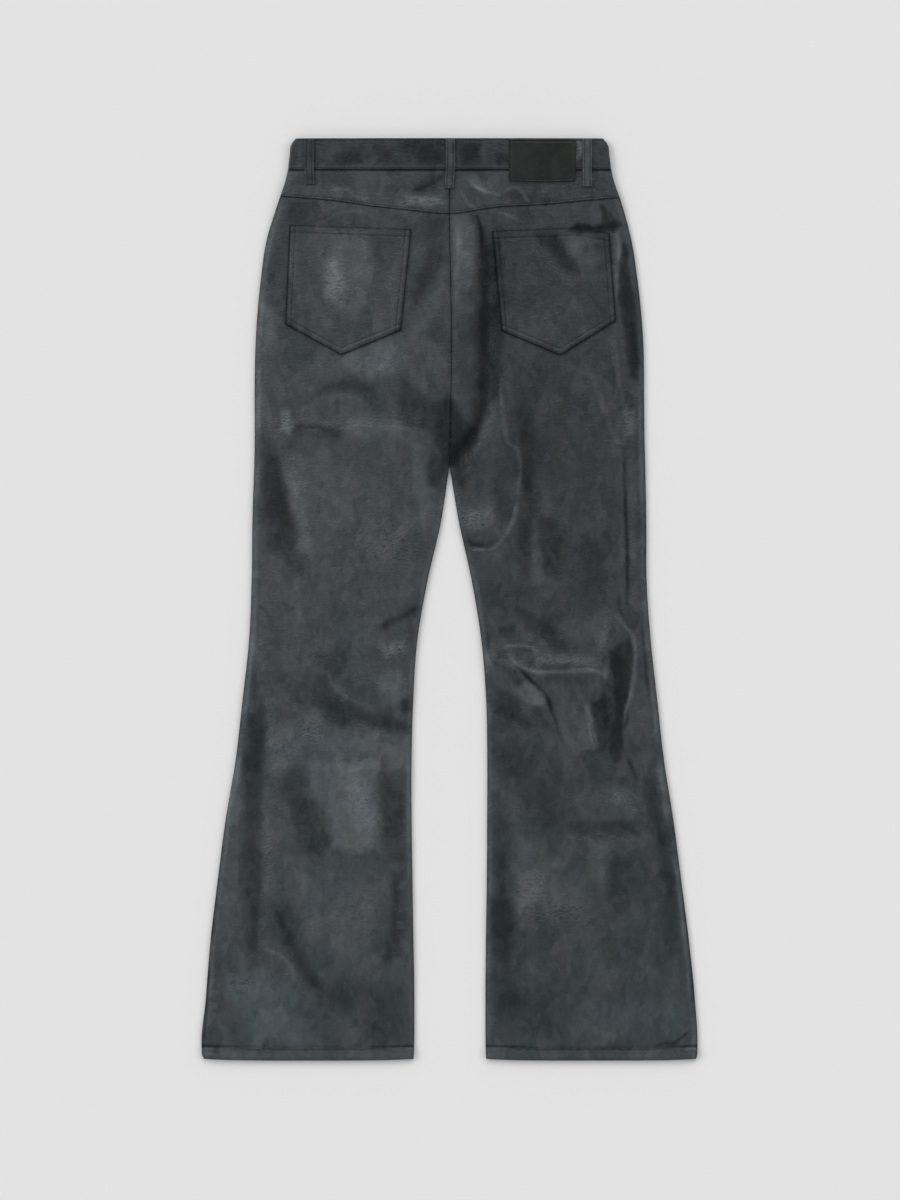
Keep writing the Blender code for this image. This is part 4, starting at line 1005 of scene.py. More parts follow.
@dataclass(frozen=True)
class LeatherFinish(Finish):
    """A leather: two colours that it is clouded in, and how strongly and how glossy."""

    cool: Colour
    warm: Colour
    contrast: float
    gloss_from: float
    gloss_to: float
    bump: float

    rub_shares: ClassVar[tuple[tuple[str, float], ...]] = (
        ("Wide", 0.12), ("Middle", 0.18), ("Fine", 0.3), ("Facets", 0.34), ("Small facets", 0.38))
    glint: ClassVar[float] = 0.36
    glint_fall: ClassVar[float] = 0.85
    wrinkle_height: ClassVar[float] = 0.00035
    pebble_height: ClassVar[float] = 0.00012

    def surface(self, sheet: NodeSheet, place: Socket) -> dict[str, object]:
        """Rubbed colour with painted glints on the wrinkles' crests, gloss and grain, which follow the piece's tone,
        warmth and crinkling.
        """
        tone, warmth, crinkle_and_glint = (sheet.add("ShaderNodeAttribute", attribute_name=label).outputs["Fac"]
                                 for label in ("tone", "warmth", "crinkle_and_glint"))
        mottle = Mottle.used_in(sheet, place)
        grain = Grain.used_in(sheet, place)
        # painted glints: the wrinkles' crests are painted lighter where the leather is crinkled
        painted_glint = sheet.math("SUBTRACT", self.glint, sheet.math("MULTIPLY", grain["Wrinkles"], self.glint_fall))
        tone_and_sheen = sheet.math("MULTIPLY", painted_glint, crinkle_and_glint)
        for output, share in self.rub_shares:
            tone_and_sheen = sheet.weighted(tone_and_sheen, sheet.math("SUBTRACT", mottle[output], 0.5), share)
        light = sheet.math("MULTIPLY", sheet.math("ADD", tone_and_sheen, tone), self.contrast)
        drift = sheet.weighted(sheet.math("MULTIPLY", mottle["Wide"], 0.5), mottle["Facets"], 0.45)
        share = sheet.math("ADD", sheet.math("MULTIPLY", warmth, 0.5), drift, clamp=True)
        colour = {0: sheet.mix(share, self.cool, self.warm), "Scale": sheet.math("POWER", 2.0, light)}
        matt = sheet.weighted(mottle["Middle"], tone, 0.35)
        worn = sheet.math("MULTIPLY", sheet.weighted(0.8, crinkle_and_glint, 0.7), self.bump)
        wrinkled = sheet.add("ShaderNodeBump", {"Height": grain["Wrinkles"], "Strength": worn,
                                                "Distance": self.wrinkle_height})
        pebbled = sheet.add("ShaderNodeBump", {"Height": grain["Pebbles"], "Strength": self.bump,
                                               "Distance": self.pebble_height, "Normal": wrinkled.outputs[0]})
        return {"Base Color": sheet.add("ShaderNodeVectorMath", colour, operation="SCALE").outputs[0],
                "Roughness": sheet.spread(matt, -0.2, 1.2, self.gloss_from, self.gloss_to),
                "Specular IOR Level": sheet.spread(light, -1.6, 0.8, 0.08, 0.66),
                "Normal": pebbled.outputs[0]}


@dataclass(frozen=True)
class ThreadFinish(Finish):
    """A waxed thread that is as dark as the leather."""

    colour: Colour

    def surface(self, sheet: NodeSheet, place: Socket) -> dict[str, object]:
        """A faintly specked colour and sheen."""
        speck = sheet.noise(place, 900.0, 2.0)
        light = tuple(1.7 * channel for channel in self.colour)
        return {"Base Color": sheet.mix(speck, self.colour, light),
                "Roughness": sheet.spread(speck, 0.3, 0.7, 0.5, 0.75)}


@dataclass(frozen=True)
class MetalFinish(Finish):
    """A dark plated metal, with faint brushing."""

    colour: Colour

    def surface(self, sheet: NodeSheet, place: Socket) -> dict[str, object]:
        """Metal streaked one way."""
        streak = sheet.noise(sheet.stretched(place, (1.0, 9.0, 1.0)), 420.0, 3.0)
        light = tuple(1.5 * channel for channel in self.colour)
        return {"Metallic": 1.0, "Base Color": sheet.mix(streak, self.colour, light),
                "Roughness": sheet.spread(streak, 0.3, 0.7, 0.28, 0.44)}


LEATHER = LeatherFinish("charcoal_leather", "leather", cool=(0.0362, 0.0456, 0.0490),
                        warm=(0.0480, 0.0460, 0.0492), contrast=1.0, gloss_from=0.26, gloss_to=0.44, bump=0.65)
PATCH_LEATHER = LeatherFinish("smooth_patch_leather", "patch_leather", cool=(0.0114, 0.0136, 0.0118),
                              warm=(0.0148, 0.0145, 0.0118), contrast=0.6, gloss_from=0.36, gloss_to=0.44, bump=0.3)
THREAD = ThreadFinish("waxed_thread", "leather", (0.012, 0.013, 0.014))
GUNMETAL = MetalFinish("button_gunmetal", "button_metal", (0.10, 0.10, 0.11))


# ---- shells


@dataclass(frozen=True)
class Spacing:
    """Points between two edges: close together near both and evenly spread between them."""

    near_low: tuple[float, ...]
    near_high: tuple[float, ...]
    middle: int

    def parts(self) -> tuple[Array, Array]:
        """The points as offsets in mm and shares of the distance, to be added."""
        low = np.array(self.near_low)
        high = np.array(self.near_high)[::-1]
        share = np.linspace(0.0, 1.0, self.middle + 2)[1:-1]
        offsets = np.concatenate((low, low[-1] * (1.0 - share) - high[0] * share, -high))
        shares = np.concatenate((np.zeros(len(low)), share, np.ones(len(high))))
        return offsets, shares


@dataclass
class Layout:
    """A grid of points between four edges, with each point's distance from each edge, in mm."""

    across: Array
    up: Array
    from_left: Array
    from_right: Array
    from_low: Array
    from_high: Array

    rounds: ClassVar[int] = 12

    @classmethod
    def between(cls, left: Line, right: Line, low: Line, high: Line, columns: Spacing, rows: Spacing,
                start: Point) -> Layout:
        """Lays out the grid.

        Args:
            left: The left edge's place across, for a height.
            right: The right edge's place across, for a height.
            low: The lower edge's height, for a place across.
            high: The upper edge's height, for a place across.
            columns: The points from left to right.
            rows: The points from the lower to the upper edge.
            start: A point inside, from which the places are found step by step.

        Returns:
            The grid.
        """
        column_offset, column_share = columns.parts()
        row_offset, row_share = rows.parts()
        shape = (len(row_offset), len(column_offset))
        across = np.full(shape, float(start[0]))
        up = np.full(shape, float(start[1]))
        for _ in range(cls.rounds):
            up = low(across) + row_offset[:, None] + row_share[:, None] * (high(across) - low(across))
            across = left(up) + column_offset + column_share * (right(up) - left(up))
        return cls(across, up, across - left(up), right(up) - across, up - low(across), high(across) - up)

    def between_sides(self, under: Array, over: Array) -> tuple[Array, Array]:
        """The grid's points at the heights of a piece's underside and of its upper side."""
        return tuple(np.stack((self.across, self.up, heights), axis=-1) for heights in (under, over))


@dataclass(frozen=True)
class Edge:
    """How an edge of a piece is finished: its rounding, its bulge, its rows of stitches and the shade painted along
    it and in its grooves.
    """

    radius: float = 0.8
    stitches: tuple[float, ...] = ()
    swell: float = 0.0
    edge_shade: float = 0.0
    groove_shade: float = 0.7

    swell_width: ClassVar[float] = 7.0
    groove_width: ClassVar[float] = 0.9
    groove_depth: ClassVar[float] = 0.38
    edge_shade_width: ClassVar[float] = 1.3

    def relief(self, distance: Array) -> Array:
        """What the edge adds to the height, at each distance from it."""
        rounding = self.radius * (crown(distance, self.radius) - 1.0)
        swell = self.swell * bump_at(distance, 0.0, self.swell_width)
        return rounding + swell - self.grooves(distance, self.groove_depth)

    def tone(self, distance: Array) -> Array:
        """The painted shade along the edge and in its grooves."""
        return -self.edge_shade * bump_at(distance, 0.0, self.edge_shade_width) - self.grooves(distance, self.groove_shade)

    def grooves(self, distance: Array, strength: float) -> Array | int:
        """The lines that the stitches are pulled into, with a strength at their middles."""
        return sum(strength * bump_at(distance, line, self.groove_width) for line in self.stitches)


EdgeList = Sequence[tuple[Edge, Array]]
LEAST_THICKNESS = 0.25


def from_pieces(name: str, points: Array, faces: list[list[int]], finish: Finish,
                paint: dict[str, Array] | None = None) -> bpy.types.Object:
    """Makes an object of points in mm and faces, with its finish.

    Args:
        name: The object's name.
        points: Its points: across, up and height.
        faces: The faces' point numbers.
        finish: What it is made of.
        paint: Each point's values that the finish reads, by attribute name.

    Returns:
        The object.
    """
    placed = points * MM
    placed[:, 1] -= DRAPE.length * MM / 2.0
    mesh = bpy.data.meshes.new(name)
    mesh.from_pydata(placed.tolist(), [], faces)
    mesh.validate()
    mesh.shade_smooth()
    mesh.set_sharp_from_angle(angle=SHARP_ANGLE)
    for label, values in (paint or {}).items():
        layer = mesh.attributes.new(label, "FLOAT", "POINT")
        layer.data.foreach_set("value", values.astype(np.float32).ravel())
    mesh.materials.append(finish.material())
    made = bpy.data.objects.new(name, mesh)
    bpy.context.scene.collection.objects.link(made)
    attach(made, BODY)
    LOG.info("%s: %d points", name, len(points))
    return made


def closed_shell(name: str, surfaces: tuple[Array, Array], finish: Finish, paint: dict[str, Array],
                 coarse: int = 1) -> bpy.types.Object:
    """Joins a lower and an upper grid of points along their rims.

    Args:
        name: The object's name.
        surfaces: The lower and the upper grid, each rows x columns x 3.
        finish: What it is made of.
        paint: The values that the finish reads at each point of a grid, by attribute name.
        coarse: Which share of its rows and columns the lower grid keeps: one in so many.

    Returns:
        The object.
    """
    lower, upper = surfaces
    counts = upper.shape[:2]
    kept = [np.unique(np.append(np.arange(0, count, coarse), count - 1)) for count in counts]
    nearest = [np.abs(np.arange(count)[:, None] - keep).argmin(axis=1) for count, keep in zip(counts, kept)]
    top = np.arange(upper[..., 0].size).reshape(counts)
    bottom = top.size + np.arange(len(kept[0]) * len(kept[1])).reshape(len(kept[0]), len(kept[1]))
    over, under = (np.stack((g[:-1, :-1], g[:-1, 1:], g[1:, 1:], g[1:, :-1]), axis=-1).reshape(-1, 4)
                   for g in (top, bottom))
    below = bottom[np.ix_(*nearest)]
    rims = [np.concatenate((g[0], g[1:, -1], g[-1, -2::-1], g[-2:0:-1, 0])) for g in (below, top)]
    after = [np.roll(rim, -1) for rim in rims]
    wall = np.stack((rims[0], after[0], after[1], rims[1]), axis=-1)
    meets = rims[0] == after[0]
    faces = over.tolist() + under[:, ::-1].tolist() + wall[~meets].tolist() + wall[meets][:, 1:].tolist()
    points = np.concatenate((upper.reshape(-1, 3), lower[np.ix_(*kept)].reshape(-1, 3)))
    values = {label: np.concatenate((value.ravel(), value[np.ix_(*kept)].ravel()))
              for label, value in paint.items()}
    return from_pieces(name, points, faces, finish, values)


# ---- the sewn pieces


def word(side: int) -> str:
    """The word for a side in the names of pieces."""
    return "left" if side < 0 else "right"


def in_order(side: int, outer: object, inner: object) -> tuple[object, object]:
    """The outer and the inner of two things, the one further to the left first."""
    return (outer, inner) if side < 0 else (inner, outer)


def finished(over: Array, under: Array, edges: EdgeList) -> Array:
    """An upper side with its edges and seams, which keeps the least thickness above the underside."""
    return np.maximum(over + sum(edge.relief(away) for edge, away in edges), under + LEAST_THICKNESS)


def rub_and_light_paint(across: Array, up: Array, crease_wear_and_light: Array, edges: EdgeList) -> dict[str, Array]:
    """The values that the finish reads on a piece that the patches of rubbing, painted highlights and painted shade
    run across.

    Args:
        across: The points' places across, in mm.
        up: Their heights above the hem, in mm.
        crease_wear_and_light: The tone that the creases give them: worn and painted lighter on ridges, painted shade
            in troughs.
        edges: The piece's edges, each with the points' distances from it.

    Returns:
        The values, by attribute name.
    """
    tone, warmth = painted(across, up, RUB_SHEEN_AND_SHADE)
    tone = tone + crease_wear_and_light + sum(edge.tone(away) for edge, away in edges)
    return {"tone": tone, "warmth": warmth, "crinkle_and_glint": painted(across, up, CRINKLE_AND_GLINT_PATCHES)[0]}


NEAR_SEAM = (0.0, 0.25, 0.8, 1.5, 2.2, 2.9, 3.6, 4.6, 5.8, 7.2, 8.8)
NEAR_FOLD = (0.0, 0.3, 0.8, 1.6, 2.8, 4.2, 6.0, 8.0)
NEAR_HEM = (0.0, 0.3, 0.9, 1.8, 3.0, 4.5, 6.0, 7.5, 9.0, 10.5, 12.0, 13.2, 14.2, 15.2, 16.2, 17.5, 19.0)
NEAR_MOUTH = (0.0, 0.25, 0.8, 1.6, 2.6, 4.0, 5.6, 7.2, 8.4, 9.5, 10.6, 12.0)
NEAR_LOOP_SIDE = (0.0, 0.25, 0.7, 1.4, 2.1, 2.8, 3.6)


@dataclass
class BackPanel:
    """A back leg panel, from the hem to the yoke seam."""

    side: int
    columns: int = 128
    rows: int = 556
    outer: Edge = Edge(radius=1.1, edge_shade=1.5)
    inner: Edge = Edge(radius=0.9, edge_shade=1.2)
    top: Edge = Edge(radius=0.5, edge_shade=0.6)
    hem: Edge = Edge(radius=1.0, stitches=(14.2,), edge_shade=0.5)
    flat_rim: float = 12.0
    rope_pitch: float = 11.0
    rope_slant: float = 0.7
    rope_waver: Waves = Waves(3.0, 30.0, 31)
    # strength of the painted highlights beside the seams
    tone_and_sheen: float = 0.45
    sheen_line_waver: Waves = Waves(0.4, 40.0, 32)

    def layout(self) -> Layout:
        """The panel's grid of points."""
        outer = lambda up: DRAPE.outer_edge(self.side, up)
        inner = lambda up: DRAPE.inner_edge(self.side, up)

        def hem_line(across: Array) -> Array:
            """The lower edge, which rises at its corners."""
            low, high = sorted((float(outer(0.0)), float(inner(0.0))))
            return DRAPE.hem_bow * np.clip(2.0 * (across - low) / (high - low) - 1.0, -1.0, 1.0) ** 4

        def below_yoke(across: Array) -> Array:
            """Half the seam gap below the yoke."""
            return DRAPE.yoke_seam(across) - DRAPE.gap / 2

        rows = Spacing(NEAR_HEM, NEAR_SEAM, self.rows)
        inside = (110.0 * self.side, 500.0)
        columns = Spacing(*in_order(self.side, NEAR_FOLD, NEAR_SEAM), self.columns)
        return Layout.between(*in_order(self.side, outer, inner), hem_line, below_yoke, columns, rows, inside)

    def roping(self, across: Array, up: Array) -> Array:
        """The slanting puckers of the turned-up hem."""
        along = across + self.rope_slant * up + self.rope_waver.at(across, up)
        slant = np.sin(2.0 * np.pi * along / self.rope_pitch)
        strength = 0.42 if self.side > 0 else 0.12
        return strength * slant * smooth_step(17.0, 12.0, up) * smooth_step(0.0, 4.0, up)

    def painted_seam_and_hem_light(self, to_outer: Array, to_inner: Array, up: Array, from_low: Array) -> tuple[Array, Array]:
        """The painted highlights beside the seams, and the painted highlight and painted shade line of the turned-up
        hem.
        """
        inseam = 0.5 * bump_at(to_inner, 4.5, 2.4) * (up < DRAPE.crotch)
        hem = 0.3 * bump_at(from_low, 7.0, 4.5) - 1.4 * bump_at(from_low, 16.4, 1.5)
        return bump_at(to_outer, 5.5, 2.6) + inseam, hem

    def build(self) -> bpy.types.Object:
        """Builds the panel."""
        grid = self.layout()
        across, up = grid.across, grid.up
        creased, crease_wear_and_light = DRAPE.creases(across, up)
        under = DRAPE.back_underside(across, up, creased)
        to_outer, to_inner = in_order(self.side, grid.from_left, grid.from_right)
        edges = ((self.outer, to_outer), (self.inner, to_inner), (self.top, grid.from_high),
                 (self.hem, grid.from_low))
        over = under + DRAPE.cloth + DRAPE.hem(up)
        inside = smooth_step(0.0, self.flat_rim, np.minimum(to_outer, grid.from_low))
        over = over + inside * DRAPE.dents(across, up) + self.roping(across, up)
        over = finished(over, under, edges)
        paint = rub_and_light_paint(across, up, crease_wear_and_light, edges)
        seams, hem = self.painted_seam_and_hem_light(to_outer, to_inner, up, grid.from_low)
        # painted highlights beside the seams, and the hem's painted highlight and painted shade
        paint["tone"] += (self.tone_and_sheen + self.sheen_line_waver.at(across, up)) * seams
        paint["tone"] += hem
        name = word(self.side)
        made = closed_shell(f"back_panel_{name}", grid.between_sides(under, over), LEATHER, paint, coarse=3)
        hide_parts(f"back_{name}")
        return made


@dataclass
class Yoke:
    """One half of the back yoke, between the back panel and the waistband."""

    side: int
    thick: float = 1.3
    flat_rim: float = 10.0
    lower: Edge = Edge(radius=0.7, stitches=(2.9,), swell=0.4, edge_shade=1.2, groove_shade=0.15)
    upper: Edge = Edge(radius=0.5, edge_shade=1.4)
    seam: Edge = Edge(radius=0.7, edge_shade=1.0)
    fold: Edge = Edge(radius=0.9, edge_shade=0.4)

    def build(self) -> bpy.types.Object:
        """Builds the yoke half."""
        outer = lambda up: DRAPE.outer_edge(self.side, up)
        inner = lambda up: DRAPE.inner_edge(self.side, up)
        low = lambda across: DRAPE.yoke_seam(across) + DRAPE.gap / 2
        high = level(DRAPE.band_seam - DRAPE.gap / 2)
        grid = Layout.between(*in_order(self.side, outer, inner), low, high, Spacing(NEAR_SEAM, NEAR_SEAM, 84),
                              Spacing(NEAR_SEAM, NEAR_FOLD, 14), (100.0 * self.side, 1110.0))
        across, up = grid.across, grid.up
        creased, crease_wear_and_light = DRAPE.creases(across, up)
        under = DRAPE.back_underside(across, up, creased)
        to_outer, to_inner = in_order(self.side, grid.from_left, grid.from_right)
        edges = ((self.fold, to_outer), (self.seam, to_inner), (self.upper, grid.from_high),
                 (self.lower, grid.from_low))
        over = under + self.thick + DRAPE.dents(across, up) * smooth_step(0.0, self.flat_rim, to_outer)
        over = finished(over, under, edges)
        paint = rub_and_light_paint(across, up, crease_wear_and_light, edges)
        name = word(self.side)
        made = closed_shell(f"back_yoke_{name}", grid.between_sides(under, over), LEATHER, paint)
        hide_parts(f"yoke_{name}")
        return made


@dataclass
class FrontPanel:
    """A front leg panel, which the garment lies on."""

    side: int
    inset: float = 0.6
    hem_middle: float = 180.0
    hem_half: float = 134.0
    flat_rim: tuple[float, float] = (2.0, 22.0)
    hollow_depth: float = 0.45
    hollows: Waves = Waves(1.0, 42.0, 41, 0.6)
    tones: Waves = Waves(0.5, 60.0, 42)
    warmths: Waves = Waves(0.4, 80.0, 43)
    rim: Edge = Edge(radius=0.5)

    def build(self) -> bpy.types.Object:
        """Builds the panel, with its flat underside on what the garment lies on."""
        outer = lambda up: DRAPE.outer_edge(self.side, up) - self.side * self.inset
        inner = lambda up: DRAPE.inner_edge(self.side, up) + self.side * self.inset * (up < DRAPE.crotch)
        off_middle = lambda across: np.abs(across - self.hem_middle * self.side) / self.hem_half
        low = lambda across: DRAPE.hem_bow * np.clip(off_middle(across), 0.0, 1.0) ** 4
        high = lambda across: DRAPE.front_waist(across) - DRAPE.gap / 2
        grid = Layout.between(*in_order(self.side, outer, inner), low, high, Spacing(NEAR_FOLD, NEAR_FOLD, 26),
                              Spacing(NEAR_HEM, NEAR_FOLD, 150), (110.0 * self.side, 500.0))
        under = DRAPE.front_underside(grid.up)
        inside = np.minimum.reduce((grid.from_left, grid.from_right, grid.from_low, grid.from_high))
        hollow = np.clip(self.hollows.at(grid.across, grid.up), 0.0, 1.0)
        under = under + self.hollow_depth * hollow * smooth_step(*self.flat_rim, inside)
        under = under - np.minimum(self.rim.relief(inside), 0.0)
        over = DRAPE.front_top(grid.up)
        paint = {"tone": self.tones.at(grid.across, grid.up), "warmth": self.warmths.at(grid.across, grid.up)}
        name = word(self.side)
        made = closed_shell(f"front_panel_{name}", grid.between_sides(under, over), LEATHER, paint)
        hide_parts(f"front_{name}")
        return made


@dataclass
class Waistband:
    """One folded strip all round, with its ends lapped at the centre front."""

    lap: float = 20.0
    around: int = 400
    shade: float = -0.38
    least_outer: float = 0.12
    least_inner: float = 0.1
    inner_round: float = 0.9
    low_edge: Edge = Edge(radius=0.9, stitches=(2.9,), edge_shade=1.4, groove_shade=0.4)
    high_edge: Edge = Edge(radius=1.0, stitches=(2.9,), groove_shade=0.3)

    def path(self) -> Array:
        """The strip's middle line seen along the garment: share of the half width, bulge, height, dip."""
        thick = DRAPE.band_thick
        front = DRAPE.front_lift + thick / 2
        lap = self.lap / DRAPE.band_half
        radius = (float(DRAPE.band_underside(np.array(DRAPE.band_half))) + thick / 2 - front) / 2
        turns = np.radians(np.arange(15.0, 180.0, 15.0))
        dip = lambda share: DRAPE.front_dip * (1.0 - share * share)
        path = [(s, 0.0, front, dip(s)) for s in (lap, 0.0, -0.25, -0.5, -0.75, -1.0)]
        path += [(-1.0, -radius * math.sin(a), front + radius * (1 - math.cos(a)), 0.0) for a in turns]
        for s in np.linspace(-1.0, 1.0, 41):
            under = float(DRAPE.band_underside(np.array(s * DRAPE.band_half)))
            path.append((s, 0.0, under + thick / 2, 0.0))
        path += [(1.0, radius * math.sin(a), front + radius * (1 + math.cos(a)), 0.0) for a in turns]
        for s in (1.0, 0.75, 0.5, 0.35, 0.26, 0.2, lap * 1.25, 0.0, -lap):
            rise = (thick + DRAPE.gap) * float(smooth_step(70.0, 30.0, np.array(s * DRAPE.band_half)))
            path.append((s, 0.0, front + rise, dip(s)))
        return np.array(path)

    def stations(self) -> Array:
        """The middle line's four values at close points all round, one row for each value."""
        path = self.path()
        half = float(DRAPE.outer_edge(1, np.array(1149.0)))
        steps = np.hypot(np.diff(path[:, 0]) * half + np.diff(path[:, 1]), np.diff(path[:, 2]))
        walked = np.concatenate(((0.0,), np.cumsum(np.maximum(steps, 0.01))))
        at = np.unique(np.concatenate((np.linspace(0.0, walked[-1], self.around), walked)).round(3))
        return np.stack([np.interp(at, walked, path[:, column]) for column in range(4)])

    def ring(self, stations: Array, side_radius: float, low: float, up: float) -> tuple[Array, ...]:
        """One row of points all round.

        Args:
            stations: The middle line's values at each point.
            side_radius: How far the strip's turn at the sides reaches past its ends.
            low: The height of the strip's lower edge.
            up: The row's height.

        Returns:
            The inner and the outer points, and the tone and the warmth at each of them.
        """
        share, bulge, height, dip = stations
        thick = DRAPE.band_thick
        on_back = (height > float(DRAPE.front_lift) + 1.6 * thick) & (dip < 0.01)
        edge = np.where(share < 0, -DRAPE.outer_edge(-1, np.array(up)), DRAPE.outer_edge(1, np.array(up)))
        across = share * (edge - side_radius) + bulge
        run = np.gradient(np.stack((across, height)), axis=1)
        run = run / np.maximum(np.linalg.norm(run, axis=0), 1e-9)
        row_up = np.full(across.shape, up)
        wave = DRAPE.band_top(across, row_up) - DRAPE.band_underside(across) - thick
        from_low = row_up - low
        from_high = DRAPE.length - row_up
        seams = self.low_edge.relief(from_low) + self.high_edge.relief(from_high)
        over = np.maximum(thick / 2 + seams + np.where(on_back, wave, 0.0), self.least_outer)
        rounding = crown(np.minimum(from_low, from_high), np.array(self.inner_round)) - 1.0
        under = np.maximum(thick / 2 + 0.8 * rounding, self.least_inner)
        inner, outer = (np.stack((across - run[1] * offset, row_up - dip, height + run[0] * offset), axis=-1)
                        for offset in (-under, over))
        tone, warmth = painted(across, row_up, BAND_CLOUDS)
        # painted highlight along the lip above the lower seam
        lip_highlight = 0.5 * bump_at(from_low, 4.4, 1.2)
        tone = tone + self.shade + lip_highlight + self.low_edge.tone(from_low) + self.high_edge.tone(from_high)
        return inner, outer, tone, warmth

    def build(self) -> bpy.types.Object:
        """Builds the waistband, ring by ring."""
        stations = self.stations()
        side_radius = float(np.abs(self.path()[:, 1]).max()) + DRAPE.band_thick / 2
        low = DRAPE.band_seam + DRAPE.gap / 2
        offsets, shares = Spacing(NEAR_FOLD, NEAR_FOLD, 14).parts()
        ups = low + offsets + shares * (DRAPE.length - low)
        rings = [self.ring(stations, side_radius, low, up) for up in ups]
        inner, outer, tone, warmth = (np.array(values) for values in zip(*rings))
        made = closed_shell("waistband_strip", (inner, outer), LEATHER, {"tone": tone, "warmth": warmth})
        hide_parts("waistband")
        return made


@dataclass
class BackPocket:
    """A patch pocket with a pointed lower edge, lying on a back panel."""

    side: int
    top: tuple[Point, ...]
    left: tuple[Point, Point]
    right: tuple[Point, Point]
    bottom: tuple[Point, ...]
    thick: float = 1.2
    mouth_from: float = 150.0
    mouth_lift: float = 0.0
    mouth_low: float = 1022.0
    opens_over: Point = (40.0, 28.0)
    sunk: float = 0.55
    low_slope: float = 0.83
    pucker_height: float = 0.22
    pucker_waver: Waves = Waves(4.0, 20.0, 51)
    seam: Edge = Edge(radius=0.9, stitches=(2.2, 7.2), swell=0.35, edge_shade=2.4, groove_shade=0.6)
    mouth: Edge = Edge(radius=0.9, stitches=(9.5,), swell=0.3, edge_shade=1.8, groove_shade=0.6)

    def lift(self, across: Array, up: Array) -> Array:
        """How far the mouth stands open."""
        out = smooth_step(self.mouth_from, self.mouth_from + self.opens_over[0], across)
        return self.mouth_lift * out * smooth_step(self.mouth_low, self.mouth_low + self.opens_over[1], up)

    def upper(self, across: Array, up: Array) -> Array:
        """The pocket's upper side, without its seams."""
        return DRAPE.back_top(across, up) + DRAPE.gap + self.thick + self.lift(across, up)

    def puckers(self, across: Array, up: Array, from_mouth: Array) -> Array:
        """The gathers along the left pocket's mouth."""
        ripple = self.pucker_height * np.sin(across / 1.9 + self.pucker_waver.at(across, up))
        return ripple * bump_at(from_mouth, 5.0, 4.0) * bump_at(across, -136.0, 26.0)

    def build(self) -> bpy.types.Object:
        """Builds the pocket."""
        left, right = (straight_through([(up, across) for across, up in ends])
                       for ends in (self.left, self.right))
        grid = Layout.between(left, right, straight_through(self.bottom), straight_through(self.top),
                              Spacing(NEAR_SEAM, NEAR_SEAM, 62), Spacing(NEAR_SEAM, NEAR_MOUTH, 62),
                              (130.0 * self.side, 980.0))
        across, up = grid.across, grid.up
        under = DRAPE.back_top(across, up) + DRAPE.gap + self.lift(across, up) - self.sunk
        edges = ((self.seam, grid.from_left), (self.seam, grid.from_right),
                 (self.seam, grid.from_low * self.low_slope), (self.mouth, grid.from_high))
        over = under + self.sunk + self.thick + self.puckers(across, up, grid.from_high)
        over = finished(over, under, edges)
        paint = rub_and_light_paint(across, up, DRAPE.creases(across, up)[1], edges)
        name = word(self.side)
        made = closed_shell(f"back_pocket_{name}", grid.between_sides(under, over), LEATHER, paint)
        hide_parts(f"pocket_{name}")
        return made


@dataclass
class BeltLoop:
    """A belt loop, sewn down at both ends."""

    name: str
    node: str
    across: float
    lower_end: float
    lean: float
    on_back: bool
    # each loop's painted highlight where positive, painted shade where negative
    shade: float = 0.1
    width: float = 12.0
    thick: float = 1.7
    side: Edge = Edge(radius=0.7, stitches=(2.6,), edge_shade=0.4)
    end: Edge = Edge(radius=0.7)
    tones: Waves = Waves(0.4, 14.0, 61)

    def upper_end(self) -> float:
        """The height of the loop's upper end: just below the waist edge, which dips at the front."""
        if self.on_back:
            return DRAPE.length - 0.4
        return float(DRAPE.front_waist(np.array(self.across))) + DRAPE.length - DRAPE.band_seam - 0.5

    def build(self) -> bpy.types.Object:
        """Builds the loop over the waistband, or pressed flat under it."""
        upper_end = self.upper_end()
        offsets, shares = Spacing(NEAR_LOOP_SIDE, NEAR_LOOP_SIDE, 3).parts()
        columns = self.across - self.width / 2 + offsets + shares * self.width
        near_ends = (self.lower_end + 0.3, self.lower_end + 0.9, upper_end - 0.3)
        ups = np.sort(np.concatenate((np.linspace(self.lower_end, upper_end, 44), near_ends)))
        across, up = np.meshgrid(columns, ups)
        if self.on_back:
            under = self.over_band(across, up)
            below = DRAPE.band_seam - np.minimum(up, DRAPE.band_seam)
            across = across + self.lean * below / (DRAPE.band_seam - self.lower_end)
        from_left = across - across[:, :1]
        from_right = across[:, -1:] - across
        ends = np.minimum(up - self.lower_end, upper_end - up)
        relief = self.side.relief(from_left) + self.side.relief(from_right) + self.end.relief(ends)
        if self.on_back:
            over = np.maximum(under + self.thick + relief, under + 0.2)
        else:
            over = np.full(across.shape, self.thick)
            under = np.maximum(-relief, 0.0)
        tone = self.side.tone(from_left) + self.side.tone(from_right)
        tone = tone + self.shade + self.tones.at(across, up)
        grid = Layout(across, up, from_left, from_right, ends, ends)
        made = closed_shell(self.name, grid.between_sides(under, over), LEATHER, {"tone": tone})
        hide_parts(self.node)
        return made

    def over_band(self, across: Array, up: Array) -> Array:
        """The loop's underside: on the yoke, bowed over the waistband, down at the waist edge."""
        on_yoke = DRAPE.back_top(across, np.minimum(up, DRAPE.band_seam - 6.0)).max(axis=1, keepdims=True)
        on_band = DRAPE.band_underside(across) + DRAPE.band_thick + 0.4
        share = np.clip((up - DRAPE.band_seam) / (DRAPE.length - DRAPE.band_seam), 0.0, 1.0)
        bowed = on_band + 0.3 + np.sin(np.pi * share) ** 0.8
        rise = smooth_step(DRAPE.band_seam - 9.0, DRAPE.band_seam + 1.0, up)
        return np.minimum(on_yoke + DRAPE.gap, bowed + 1.0) * (1.0 - rise) + bowed * rise

    def sewn_on(self, across: Array, up: Array) -> Array:
        """The surface that the loop's own stitches lie on."""
        return self.over_band(across[:, None], up[:, None])[:, 0] + self.thick - 0.15


